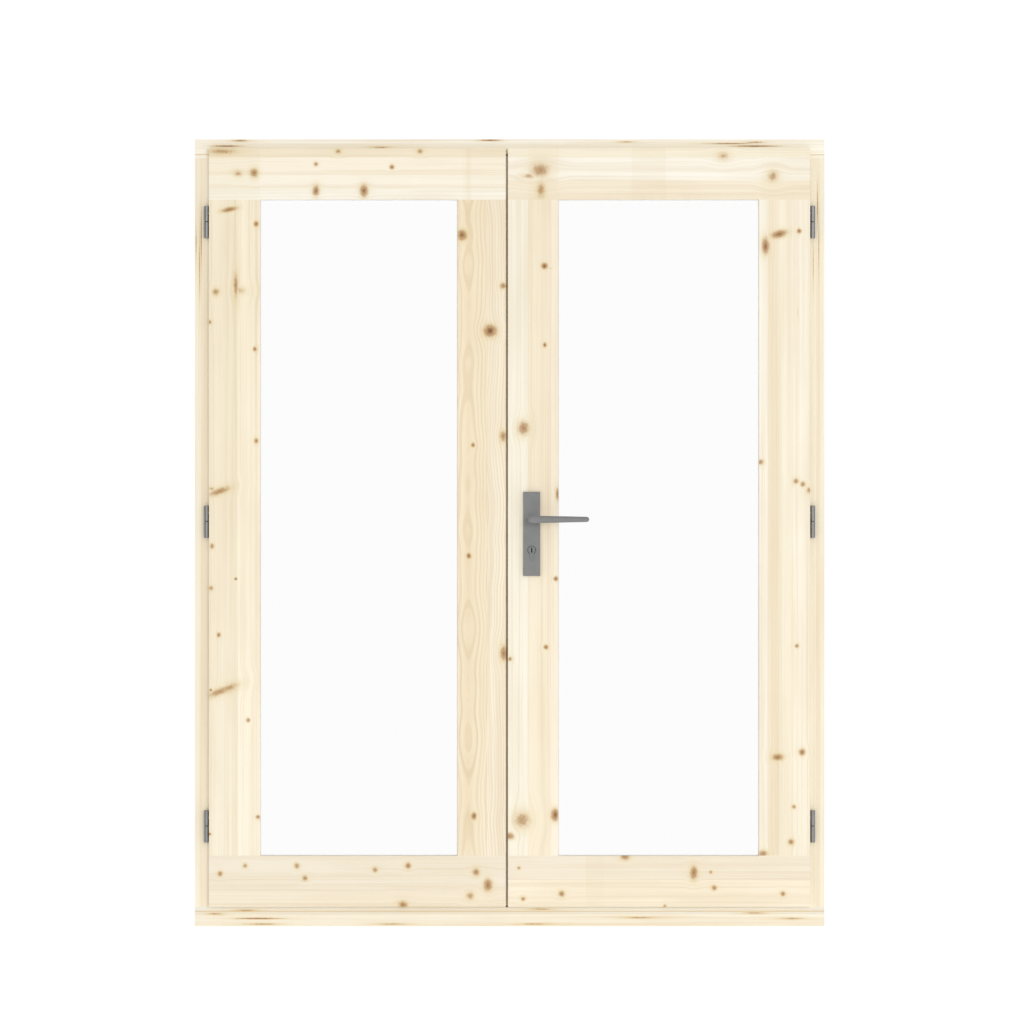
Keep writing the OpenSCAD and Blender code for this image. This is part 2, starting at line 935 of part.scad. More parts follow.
// the follower turns with the spindle, and its arm pushes the latch's lug back
module follower() {
  color(zinc)
    difference() {
      union() {
        rod_y([spindle_x, lock_y - case_t / 2, handle_z], hub_r, case_t);
        block([spindle_x - arm_w / 2, lock_y - arm_w / 2, handle_z],
              [spindle_x + arm_w / 2, lock_y + arm_w / 2, handle_z + arm_r]);
      }
      spindle_bar(lock_y - case_t, lock_y + case_t, screw_fit);
    }
}

module spindle_bar(y1, y2, g) {
  w = spindle_w / 2 + g;
  block([spindle_x - w, y1, handle_z - w], [spindle_x + w, y2, handle_z + w]);
}

module spindle() {
  color(zinc)
    spindle_bar(leaf_front - outer_plate_t - socket_l + 2, leaf_back + inner_plate_t + socket_l - 2, 0);
}

module cylinder_body() {
  color(satin_grey)
    difference() {
      euro_profile(lock_y - outer_half, lock_y + inner_half, 0);
      rod_y([spindle_x, lock_y - outer_half - 1, cylinder_z], plug_r + running, outer_half + inner_half + 2);
      block([spindle_x - profile_r - 1, lock_y - cam_gap / 2, cylinder_z - cam_r - 0.5],
            [spindle_x + profile_r + 1, lock_y + cam_gap / 2, cylinder_z + profile_r + 1]);
      lock_screw_set(screw_fit);
    }
}

// the two plugs that take the key, one from each side
keyway_w = 2.8;
keyway_up = 4.2;
keyway_l = 26;
cam_play = 0.2;
module cylinder_plugs() {
  inner = cam_gap / 2 - cam_play;
  color(satin_grey)
    for (s = [-1, 1]) {
      end = s < 0 ? lock_y - outer_half : lock_y + inner_half;
      mouth = s * inner;
      difference() {
        rod_y([spindle_x, min(end, lock_y + mouth), cylinder_z], plug_r, abs(end - lock_y - mouth));
        block([spindle_x - keyway_w / 2, end + s, cylinder_z - plug_r - 1],
              [spindle_x + keyway_w / 2, end - s * keyway_len(s), cylinder_z + keyway_up]);
      }
    }
}

function keyway_len(s) = min(keyway_l, (s < 0 ? outer_half : inner_half) - cam_gap);

// the cam between the plugs, pointing down at rest
cam_nose_w = 7;
module cylinder_cam() {
  inner = cam_gap / 2 - cam_play;
  color(zinc)
    union() {
      rod_y([spindle_x, lock_y - inner, cylinder_z], profile_r - 0.5, 2 * inner);
      intersection() {
        rod_y([spindle_x, lock_y - inner, cylinder_z], cam_r, 2 * inner);
        block([spindle_x - cam_nose_w / 2, lock_y - inner, cylinder_z - cam_r - 1],
              [spindle_x + cam_nose_w / 2, lock_y + inner, cylinder_z]);
      }
    }
}

// the strike plate is let into the edge of the tongue
module strike_plate_body(g) {
  mid = lock_mid_z + 15;
  block([tongue_x - strike_t, lock_y - strike_w / 2, mid - strike_h / 2],
        [tongue_x + g, lock_y + strike_w / 2, mid + strike_h / 2]);
}

latch_pocket_front = 1;
latch_pocket_back = 2;
module strike_pockets(x_out) {
  block([x_out + 2, lock_y - latch_w / 2 - latch_pocket_front, latch_z - latch_h / 2 - 2],
        [face_x - latch_throw - 7, lock_y + latch_w / 2 + latch_pocket_back, latch_z + latch_h / 2 + 2]);
  block([x_out + 2, lock_y - bolt_w / 2 - 1.5, bolt_z - bolt_h / 2 - 2],
        [face_x - deadbolt_throw - 3, lock_y + bolt_w / 2 + 1.5, bolt_z + bolt_h / 2 + 2]);
}

module strike_plate() {
  color(zinc)
    difference() {
      strike_plate_body(0);
      strike_pockets(tongue_x);
      passive_screw_set(screw_fit);
    }
}

// screws on the passive leaf: two through the strike plate, four through each bolt guide
strike_screw_in = 9;
guide_screw_x = 11;
guide_screw_z = 35;
guide_screw_l = 18;
module passive_screw_set(grow) {
  mid = lock_mid_z + 15;
  for (side = [-1, 1])
    translate([tongue_x, lock_y, mid + side * (strike_h / 2 - strike_screw_in)])
      rotate([0, -90, 0])
        screw(4, faceplate_screw_l, faceplate_head, grow);
  for (up = [-1, 1], i = [-1, 1], j = [-1, 1])
    translate([bolt_x + i * guide_screw_x, leaf_back + guide_plate_t, guide_z(up) + j * guide_screw_z])
      rotate([90, 0, 0])
        screw(3.5, guide_screw_l, 7, grow);
}

module passive_screws() {
  color(zinc)
    intersection() {
      passive_screw_set(0);
      block([-big, -big, 0], [tongue_x, leaf_back + guide_plate_t, big]);
    }
}

// ---- sliding bolts of the passive leaf: up is 1 for the top one and -1 for the bottom one ----

guide_from_end = 45;
knob_r = 6;
knob_l = 14;
function bolt_end(up) = up > 0 ? header_in_z - bolt_gap : sill_top + bolt_gap;
function guide_z(up) = bolt_end(up) - up * (guide_from_end + guide_l / 2);

module bolt_guide(up) {
  z = guide_z(up);
  block_y = bolt_y + bolt_d / 2 + 3;
  block_w = bolt_d + 6;
  difference() {
    union() {
      block([bolt_x - guide_w / 2, leaf_back, z - guide_l / 2],
            [bolt_x + guide_w / 2, leaf_back + guide_plate_t, z + guide_l / 2]);
      for (j = [-1, 1])
        translate([bolt_x, 0, z + j * (guide_l - guide_block) / 2])
          block([-block_w / 2, leaf_back + guide_plate_t - eps, -guide_block / 2],
                [block_w / 2, block_y, guide_block / 2]);
    }
    rod_z([bolt_x, bolt_y, z - guide_l], bolt_d / 2 + running, 2 * guide_l);
    passive_screw_set(screw_fit);
  }
}

module sliding_bolt(up) {
  z = guide_z(up);
  end = bolt_end(up);
  low = min(end, end - up * bolt_l);
  e = 1;
  r = bolt_d / 2;
  union() {
    translate([bolt_x, bolt_y, low])
      rotate_extrude()
        polygon([[0, 0], [r - e, 0], [r, e], [r, bolt_l - e], [r - e, bolt_l], [0, bolt_l]]);
    rod_y([bolt_x, bolt_y, z], knob_r - 2, r + 4);
    rod_y([bolt_x, bolt_y + r + 3, z], knob_r, knob_l);
  }
}

module top_bolt_guide() {
  color(satin_grey)
    bolt_guide(1);
}

module bottom_bolt_guide() {
  color(satin_grey)
    bolt_guide(-1);
}

module top_bolt() {
  color(satin_grey)
    sliding_bolt(1);
}

module bottom_bolt() {
  color(satin_grey)
    sliding_bolt(-1);
}

// ---- plates and levers ----

function plate_screw_z() = [plate_z - plate_screw_pitch / 2, plate_z + plate_screw_pitch / 2];

// a long plate with bevelled outer edges; d is -1 outside and 1 inside
module long_plate(d, t) {
  y1 = d < 0 ? leaf_front : leaf_back;
  y2 = y1 + d * t;
  c = plate_chamfer * sqrt(2);
  difference() {
    block([spindle_x - plate_w / 2, y1, plate_z - plate_h / 2],
          [spindle_x + plate_w / 2, y2, plate_z + plate_h / 2]);
    for (i = [-1, 1])
      translate([spindle_x + i * plate_w / 2, y2, plate_z])
        rotate([0, 0, 45])
          cube([c, c, plate_h + 2], center = true);
    for (i = [-1, 1])
      translate([spindle_x, y2, plate_z + i * plate_h / 2])
        rotate([45, 0, 0])
          cube([plate_w + 2, c, c], center = true);
    rod_y([spindle_x, min(y1, y2) - 1, handle_z], neck_r + running, t + 2);
    euro_profile(min(y1, y2) - 1, max(y1, y2) + 1, sliding);
    translate([spindle_x, y2, cylinder_z])
      rotate([d * -90, 0, 0])
        translate([0, 0, -2])
          cylinder(r1 = profile_r + sliding, r2 = profile_r + sliding + 2 + eps, h = 2 + eps);
  }
}

module outer_plate() {
  color(satin_grey)
    difference() {
      union() {
        long_plate(-1, outer_plate_t);
        for (z = plate_screw_z())
          rod_y([spindle_x, leaf_front - 1, z], boss_r, boss_l + 1);
      }
      plate_screw_set(screw_fit);
    }
}

module inner_plate() {
  color(satin_grey)
    difference() {
      long_plate(1, inner_plate_t);
      plate_screw_set(screw_fit);
    }
}

// machine screws from the inner plate into the bosses of the outer plate
module plate_screw_set(grow) {
  for (z = plate_screw_z())
    translate([spindle_x, leaf_back + inner_plate_t, z])
      rotate([90, 0, 0])
        screw(screw_d, leaf_t + inner_plate_t - 2, plate_screw_head, grow);
}

module plate_screws() {
  color(satin_grey)
    intersection() {
      plate_screw_set(0);
      block([0, -big, 0], [big, leaf_back + inner_plate_t, big]);
    }
}

// the grip is a long cone with round ends, turned about its own axis
function arc_points(r, z, a1, a2, n) =
  [for (i = [0:n]) let (a = a1 + (a2 - a1) * i / n) [r * cos(a), z + r * sin(a)]];

arc_steps = 9;
module lever(d) {
  y1 = d < 0 ? leaf_front + 1 : leaf_back - 1;
  plate_t = d < 0 ? outer_plate_t : inner_plate_t;
  y2 = (d < 0 ? leaf_front : leaf_back) + d * (plate_t + lever_reach);
  grip = lever_l - lever_tip_r;
  slope = asin((lever_hub_r - lever_tip_r) / grip);
  difference() {
    union() {
      rod_y([spindle_x, min(y1, y2), handle_z], neck_r, abs(y2 - y1));
      translate([spindle_x, y2, handle_z])
        rotate([0, 90, 0])
          rotate_extrude()
            polygon(concat(
              [[0, -lever_hub_r]],
              arc_points(lever_hub_r, 0, -80, slope, arc_steps),
              arc_points(lever_tip_r, grip, slope, 80, arc_steps),
              [[0, lever_l]]
            ));
    }
    spindle_bar(y1 - d * 2, y1 + d * (plate_t + socket_l), screw_fit);
  }
}

module outer_lever() {
  color(satin_grey)
    lever(-1);
}

module inner_lever() {
  color(satin_grey)
    lever(1);
}

header();
sill();
left_jamb();
right_jamb();
frame_seal();
bolt_keeps();
frame_screws();
frame_knuckle_left_low();
frame_knuckle_left_mid();
frame_knuckle_left_top();
frame_knuckle_right_low();
frame_knuckle_right_mid();
frame_knuckle_right_top();
leaf_knuckle_left_low();
leaf_knuckle_left_mid();
leaf_knuckle_left_top();
leaf_knuckle_right_low();
leaf_knuckle_right_mid();
leaf_knuckle_right_top();
hinge_rings();
passive_hinge_stile();
passive_meeting_stile();
passive_top_rail();
passive_bottom_rail();
passive_panes();
passive_spacer();
passive_beads();
passive_blocks();
passive_tape();
meeting_seal();
strike_plate();
passive_screws();
top_bolt_guide();
bottom_bolt_guide();
top_bolt();
bottom_bolt();
active_hinge_stile();
active_lock_stile();
active_top_rail();
active_bottom_rail();
active_panes();
active_spacer();
active_beads();
active_blocks();
active_tape();
lock_case();
faceplate();
lock_screws();
latch_bolt();
deadbolt();
cylinder_body();
cylinder_plugs();
cylinder_cam();
outer_plate();
inner_plate();
plate_screws();
follower();
spindle();
outer_lever();
inner_lever();
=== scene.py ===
# %% [markdown]
# French doors of pale laminated spruce, as on a garden cabin: a wooden frame, two glazed leaves,
# six barrel hinges and one lock with a lever. The imported CAD model gives every solid at its real
# size, in metres, with +X to the right seen from outside, +Y towards the inside and +Z up. This
# lesson gives those solids their finishes, lights them and sets up one straight front view.
# The CAD model's own box is kept first; it gives the doors' width and height.

# %% Load the imported doors
import json
import math

import bpy
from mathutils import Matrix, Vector


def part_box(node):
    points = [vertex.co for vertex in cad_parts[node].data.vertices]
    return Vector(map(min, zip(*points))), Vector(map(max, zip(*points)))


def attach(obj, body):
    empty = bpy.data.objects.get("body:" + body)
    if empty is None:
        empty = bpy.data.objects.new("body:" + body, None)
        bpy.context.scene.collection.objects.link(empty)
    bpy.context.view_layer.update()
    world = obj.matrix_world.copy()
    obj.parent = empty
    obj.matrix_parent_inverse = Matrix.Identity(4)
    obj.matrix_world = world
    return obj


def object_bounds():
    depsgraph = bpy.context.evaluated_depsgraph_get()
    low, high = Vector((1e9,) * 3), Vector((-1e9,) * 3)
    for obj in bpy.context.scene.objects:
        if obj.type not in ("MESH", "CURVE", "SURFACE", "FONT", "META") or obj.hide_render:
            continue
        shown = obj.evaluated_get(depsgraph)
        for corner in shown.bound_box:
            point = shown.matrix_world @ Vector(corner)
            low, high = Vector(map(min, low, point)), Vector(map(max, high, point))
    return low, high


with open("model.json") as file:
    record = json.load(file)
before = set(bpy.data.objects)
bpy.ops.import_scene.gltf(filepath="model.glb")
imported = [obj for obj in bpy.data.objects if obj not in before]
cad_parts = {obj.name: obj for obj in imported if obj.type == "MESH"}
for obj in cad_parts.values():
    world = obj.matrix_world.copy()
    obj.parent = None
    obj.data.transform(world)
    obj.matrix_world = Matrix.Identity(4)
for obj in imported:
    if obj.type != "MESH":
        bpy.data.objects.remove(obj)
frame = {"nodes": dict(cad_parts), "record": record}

MM = 0.001
nodes = frame["nodes"]
cad_box = [list(corner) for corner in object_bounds()]
door_width = cad_box[1][0] - cad_box[0][0]
door_height = cad_box[1][2] - cad_box[0][2]
print(f"doors {door_width:.3f} m wide, {door_height:.3f} m high, {len(nodes)} solids")

# %% [markdown]
# A catalogue shows a door straight from the front, with no side in sight. A camera with a very
# long lens, twenty metres away, gives that flat view, and other views of the part can still move
# the camera in the usual way. The wider the view, the further back the camera stands: distance is
# view width times focal length over sensor width.

# %% Camera
LENS_MM = 300
SENSOR_MM = 36
VIEW_WIDTH = 2.4122
VIEW_SIDE = 0.0057
VIEW_HEIGHT = 0.9764
VIEW_REACH = 200
leaf_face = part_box("active_lock_stile")[0].y

camera_data = bpy.data.cameras.new("front_camera")
camera_data.lens = LENS_MM
camera_data.sensor_width = SENSOR_MM
camera_data.clip_end = VIEW_REACH
camera = bpy.data.objects.new("front_camera", camera_data)
bpy.context.scene.collection.objects.link(camera)
camera_distance = VIEW_WIDTH * LENS_MM / SENSOR_MM
camera.location = (VIEW_SIDE, leaf_face - camera_distance, VIEW_HEIGHT)
camera.rotation_euler = (math.radians(90), 0, 0)
bpy.context.scene.camera = camera
print(f"camera {camera_distance:.2f} m in front of the leaves")

# %% [markdown]
# Colours are chosen as a maker reads them from a paint card, from 0 to 255. The renderer works
# with light instead, so each one is turned into linear light. The Standard view keeps a colour as
# it was chosen, where a film-like view would grey the whites.

# %% Colours in light
def light_of(part):
    """Linear light from one part of a colour, by the usual sRGB curve."""
    part = part / 255
    return part / 12.92 if part <= 0.04045 else ((part + 0.055) / 1.055) ** 2.4


def shade(red, green, blue):
    """A colour from a paint card, as the renderer wants it."""
    return (light_of(red), light_of(green), light_of(blue), 1.0)


bpy.context.scene.view_settings.view_transform = "Standard"
bpy.context.scene.view_settings.look = "None"
print("raw spruce in linear light:", [round(part, 3) for part in shade(246, 232, 205)[:3]])

# %% [markdown]
# Node trees repeat the same small moves: add a node, do a sum, mix two colours. A few helpers
# keep the recipes for the finishes short enough to read. Each takes a tree and gives back a
# socket, and each input may be a number or the output of an earlier step. The mix node has
# sockets for numbers, points and colours side by side, so its colour sockets are named here.

# %% Helpers for node trees
MIX_AMOUNT, MIX_FIRST, MIX_SECOND = 0, 6, 7
MIX_RESULT = 2
FLOAT = "NodeSocketFloat"
COLOUR = "NodeSocketColor"
VECTOR = "NodeSocketVector"


def feed(tree, socket, value):
    """Plugs an earlier output in, or sets a plain value."""
    if isinstance(value, bpy.types.NodeSocket):
        tree.links.new(value, socket)
    else:
        socket.default_value = value


def sum_of(tree, operation, *values):
    """One step of arithmetic."""
    node = tree.nodes.new("ShaderNodeMath")
    node.operation = operation
    for socket, value in zip(node.inputs, values):
        feed(tree, socket, value)
    return node.outputs[0]


def mix_of(tree, amount, first, second, how="MIX"):
    """One colour laid over another."""
    node = tree.nodes.new("ShaderNodeMix")
    node.data_type = "RGBA"
    node.blend_type = how
    feed(tree, node.inputs[MIX_AMOUNT], amount)
    feed(tree, node.inputs[MIX_FIRST], first)
    feed(tree, node.inputs[MIX_SECOND], second)
    return node.outputs[MIX_RESULT]


def range_of(tree, value, low, high, to_low=0.0, to_high=1.0, soft=True):
    """Stretches one span of values to another."""
    node = tree.nodes.new("ShaderNodeMapRange")
    node.interpolation_type = "SMOOTHSTEP" if soft else "LINEAR"
    for index, part in enumerate((value, low, high, to_low, to_high)):
        feed(tree, node.inputs[index], part)
    return node.outputs[0]


def noise_of(tree, vector, scale, detail=2.0, rough=0.5):
    """Smooth random values, about 0.5 on average."""
    node = tree.nodes.new("ShaderNodeTexNoise")
    feed(tree, node.inputs["Vector"], vector)
    feed(tree, node.inputs["Scale"], scale)
    feed(tree, node.inputs["Detail"], detail)
    feed(tree, node.inputs["Roughness"], rough)
    return node.outputs["Fac"]


def point_of(tree, x, y, z):
    """Three values as one point."""
    node = tree.nodes.new("ShaderNodeCombineXYZ")
    for socket, value in zip(node.inputs, (x, y, z)):
        feed(tree, socket, value)
    return node.outputs[0]


def new_group(name, inputs, outputs):
    """An empty shared recipe with named inputs and outputs."""
    tree = bpy.data.node_groups.new(name, "ShaderNodeTree")
    for label, kind, value in inputs:
        socket = tree.interface.new_socket(label, in_out="INPUT", socket_type=kind)
        socket.default_value = value
    for label, kind in outputs:
        tree.interface.new_socket(label, in_out="OUTPUT", socket_type=kind)
    start = tree.nodes.new("NodeGroupInput")
    end = tree.nodes.new("NodeGroupOutput")
    return tree, start.outputs, end.inputs


def use_group(tree, group, values):
    """Places a shared recipe in a tree and sets its inputs by name."""
    node = tree.nodes.new("ShaderNodeGroup")
    node.node_tree = group
    for label, value in values.items():
        feed(tree, node.inputs[label], value)
    return node.outputs


print("mix node colours go in at", MIX_FIRST, "and", MIX_SECOND)

# %% [markdown]
# A tree grows in rings, and a board is a slice through them. How far a point lies from the
# tree's heart decides which ring it is in, so one distance gives straight lines where the slice
# is far from the heart, pointed arches where it is near, and arcs on the end of the board. The
# rings wander a little along the trunk. This group gives that distance, and every line of the
# grain is then drawn along it.

# %% Growth rings
DRIFT_ALONG = 5.2
DRIFT_ACROSS = 3.0
rings, r_in, r_out = new_group(
    "spruce_rings",
    [("Along", FLOAT, 0.0), ("Across", FLOAT, 0.0), ("Through", FLOAT, 0.0), ("Pull", FLOAT, 0.0),
     ("Heart Across", FLOAT, 0.0), ("Heart Depth", FLOAT, 0.1), ("Wander", FLOAT, 0.002),
     ("Strip", FLOAT, 0.0)],
    [("Radius", FLOAT)])
place = point_of(rings, sum_of(rings, "MULTIPLY", r_in["Along"], DRIFT_ALONG),
                 sum_of(rings, "MULTIPLY", r_in["Across"], DRIFT_ACROSS), r_in["Strip"])
drift = sum_of(rings, "SUBTRACT", noise_of(rings, place, 1.0, 1.5), 0.5)
side = sum_of(rings, "ADD", sum_of(rings, "SUBTRACT", r_in["Across"], r_in["Heart Across"]),
              r_in["Pull"])
deep = sum_of(rings, "ADD", r_in["Through"], r_in["Heart Depth"])
distance = sum_of(rings, "SQRT", sum_of(rings, "ADD", sum_of(rings, "MULTIPLY", side, side),
                                        sum_of(rings, "MULTIPLY", deep, deep)))
feed(rings, r_out["Radius"],
     sum_of(rings, "ADD", distance, sum_of(rings, "MULTIPLY", drift, r_in["Wander"])))
print("growth rings:", len(rings.nodes), "nodes")

# %% [markdown]
# Along each ring spruce shows a pale early band and a thin darker late band, and between them
# fine fibres. Planed spruce is so pale that these differ by only a few shades. Three noises
# stretched far along the board give broad bands, ring lines and fibres, and a slow one gives the
# cloudy, slightly yellower patches. A regular wave across the rings can be added for a board cut
# near the heart, where each year's ring shows. Last, a faint blue tint stands for daylight. The
# group gives one colour, a roughness and a height.

# %% Grain of a board
BAND_RATE = (75, 0.9)
LINE_RATE = (310, 1.1)
FIBRE_RATE = (1500, 14)
CLOUD_ACROSS = 16
CLOUD_ALONG = 3.2
RING_RATE = 1000
BAND_CUT = (0.42, 0.68)
LINE_CUT = (0.50, 0.72)
CLOUD_CUT = (0.40, 0.72)
RING_CUT = (0.1, 1.0)
BAND_STRENGTH = 0.23
LINE_STRENGTH = 0.34
CLOUD_STRENGTH = 0.20
FIBRE_SPREAD = (0.3, 0.7)
FIBRE_SHADES = (0.975, 1.02)
WOOD_ROUGHNESS = (0.52, 0.66)
LINE_RELIEF = 0.6
DAYLIGHT = (0.99, 1.01, 1.06, 1)
grain, g_in, g_out = new_group(
    "spruce_grain",
    [("Radius", FLOAT, 0.0), ("Along", FLOAT, 0.0), ("Across", FLOAT, 0.0), ("Strip", FLOAT, 0.0),
     ("Tint", COLOUR, (0.9, 0.8, 0.6, 1)), ("Late Wood", COLOUR, (0.8, 0.6, 0.4, 1)),
     ("Lines", FLOAT, 1.0), ("Rings", FLOAT, 0.0)],
    [("Color", COLOUR), ("Roughness", FLOAT), ("Height", FLOAT)])


def stretched(tree, sockets, around, along):
    """A point that changes quickly across the rings and slowly along the board."""
    return point_of(tree, sum_of(tree, "MULTIPLY", sockets["Radius"], around),
                    sum_of(tree, "MULTIPLY", sockets["Along"], along), sockets["Strip"])


bands = range_of(grain, noise_of(grain, stretched(grain, g_in, *BAND_RATE), 1.0, 1.0), *BAND_CUT)
lines = range_of(grain, noise_of(grain, stretched(grain, g_in, *LINE_RATE), 1.0, 1.5), *LINE_CUT)
fibres = noise_of(grain, stretched(grain, g_in, *FIBRE_RATE), 1.0, 2.0)
cloud_place = point_of(grain, sum_of(grain, "MULTIPLY", g_in["Across"], CLOUD_ACROSS),
                       sum_of(grain, "MULTIPLY", g_in["Along"], CLOUD_ALONG), g_in["Strip"])
clouds = range_of(grain, noise_of(grain, cloud_place, 1.0, 2.0), *CLOUD_CUT)
wave = range_of(grain, sum_of(grain, "SINE",
                              sum_of(grain, "MULTIPLY", g_in["Radius"], RING_RATE)), *RING_CUT)
wood_tone = g_in["Tint"]
for share in (sum_of(grain, "MULTIPLY", bands, BAND_STRENGTH),
              sum_of(grain, "MULTIPLY", sum_of(grain, "MULTIPLY", lines, LINE_STRENGTH),
                     g_in["Lines"]),
              sum_of(grain, "MULTIPLY", wave, g_in["Rings"]),
              sum_of(grain, "MULTIPLY", clouds, CLOUD_STRENGTH)):
    wood_tone = mix_of(grain, share, wood_tone, g_in["Late Wood"])
fine = range_of(grain, fibres, *FIBRE_SPREAD, *FIBRE_SHADES, soft=False)
daylit = mix_of(grain, 1.0, wood_tone, DAYLIGHT, "MULTIPLY")
feed(grain, g_out["Color"], mix_of(grain, 1.0, daylit, fine, "MULTIPLY"))
feed(grain, g_out["Roughness"],
     range_of(grain, fibres, *FIBRE_SPREAD, *WOOD_ROUGHNESS, soft=False))
feed(grain, g_out["Height"],
     sum_of(grain, "ADD", fibres, sum_of(grain, "MULTIPLY", lines, LINE_RELIEF)))
print("grain:", len(grain.nodes), "nodes")

# %% [markdown]
# A knot is where a branch left the trunk. It darkens towards its middle, resin tints the wood
# around it, and the trunk's rings bend round it. This group measures how near a point is to one
# knot, from nothing at three times its size to the knot's own strength in its middle. Knots are
# chained: each one passes on the highest value so far and adds its own bend, so a board can have
# many. A mapping node of the texture kind gives the place in the knot's own turned coordinates.

# %% One knot
KNOT_REACH = 3.0
BEND_REACH = KNOT_REACH * 1.1
RING_BEND = -0.75
knot, k_in, k_out = new_group(
    "spruce_knot",
    [("Place", VECTOR, (0, 0, 0)), ("Centre", VECTOR, (0, 0, 0)), ("Size", VECTOR, (1, 1, 1)),
     ("Turn", VECTOR, (0, 0, 0)), ("Strength", FLOAT, 1.0), ("Across", FLOAT, 0.0),
     ("Knot Across", FLOAT, 0.0), ("Bend", FLOAT, RING_BEND), ("Pull", FLOAT, 0.0),
     ("Near", FLOAT, 0.0)],
    [("Pull", FLOAT), ("Near", FLOAT)])
local = knot.nodes.new("ShaderNodeMapping")
local.vector_type = "TEXTURE"
for socket, label in zip(local.inputs, ("Place", "Centre", "Turn", "Size")):
    feed(knot, socket, k_in[label])
reach = knot.nodes.new("ShaderNodeVectorMath")
reach.operation = "LENGTH"
feed(knot, reach.inputs[0], local.outputs[0])
near = range_of(knot, reach.outputs["Value"], KNOT_REACH, 0, 0, k_in["Strength"], soft=False)
bend = range_of(knot, reach.outputs["Value"], BEND_REACH, 0, 0, k_in["Bend"])
over = sum_of(knot, "SUBTRACT", k_in["Across"], k_in["Knot Across"])
feed(knot, k_out["Pull"], sum_of(knot, "ADD", k_in["Pull"], sum_of(knot, "MULTIPLY", over, bend)))
feed(knot, k_out["Near"], sum_of(knot, "MAXIMUM", k_in["Near"], near))
print("one knot:", len(knot.nodes), "nodes")

# %% [markdown]
# A laminated board is glued from strips of different trees, so its colour steps at each glue
# line, and its lines don't meet there. A ramp with hard steps across the board gives each strip
# its own tint, and the tint's brightness also shifts the grain. Further washes let the tint fade
# or step along or across the board. A stile's grain stands upright and a rail's lies level.
# Each knot is written as (x, z, half width, half height, strength, lean), with its sizes in
# millimetres. Strength goes from 0 to 1, and one below 0 leaves only a stain. Lean is the
# slope of a knot that was cut at an angle. A weaker knot is drawn larger, up to twice, so that
# its rim still ends at the size given for it. One too weak to have a rim isn't enlarged.

# %% A board of laminated spruce
LATE_WOOD = shade(224, 202, 164)
GLUE_LINE = shade(212, 184, 136)
RIM = 2 / 3
KNOT_BASE = 0.66
KNOT_GAIN = 0.34
RIM_SHOWS = 0.7
LARGEST = 2.0
BEND_FADE = 1.5
STRIP_SHIFT = 97.0
BOARD_SHIFT = 3.7
KNOT_PATCHES = 150
KNOT_UNEVEN = (0.955, 1.045)
GLUE_EDGES = (1.5 * MM, 0.4 * MM)
GLUE_STRENGTH = 0.85
WOOD_GLOSS = 0.25
WOOD_BUMP = 0.35
WOOD_BUMP_HEIGHT = 0.25 * MM
STRAIGHT_GRAIN = (3000, 500)
KNOT_TONES = [
    (0.0, shade(236, 220, 178), 0.0), (0.34, shade(234, 216, 170), 0.06),
    (0.52, shade(226, 206, 156), 0.26), (0.63, shade(210, 180, 124), 0.52),
    (0.71, shade(184, 144, 92), 0.80), (0.79, shade(176, 132, 80), 0.87),
    (0.88, shade(146, 102, 60), 0.95), (1.0, shade(104, 66, 38), 1.0)]
board_count = 0


def step_ramp(tree, value, low, high, steps, hard):
    """A colour for each stretch between low and high, in millimetres."""
    node = tree.nodes.new("ShaderNodeValToRGB")
    ramp = node.color_ramp
    ramp.interpolation = "CONSTANT" if hard else "LINEAR"
    share = range_of(tree, value, low * MM, high * MM, soft=False)
    feed(tree, node.inputs[0], share)
    places = [((at - low) / (high - low), tint) for at, tint in steps]
    ramp.elements[0].position, ramp.elements[0].color = places[0]
    ramp.elements[1].position, ramp.elements[1].color = places[-1]
    for at, tint in places[1:-1]:
        ramp.elements.new(at).color = tint
    return node.outputs[0]


def knot_tones(tree, near):
    """The colours from a knot's halo through its rim to its middle, and how strong they are."""
    node = tree.nodes.new("ShaderNodeValToRGB")
    ramp = node.color_ramp
    feed(tree, node.inputs[0], near)
    stops = [(at, (*tone[:3], strength)) for at, tone, strength in KNOT_TONES]
    ramp.elements[0].position, ramp.elements[0].color = stops[0]
    ramp.elements[1].position, ramp.elements[1].color = stops[-1]
    for at, tone in stops[1:-1]:
        ramp.elements.new(at).color = tone
    return node.outputs[0], node.outputs[1]


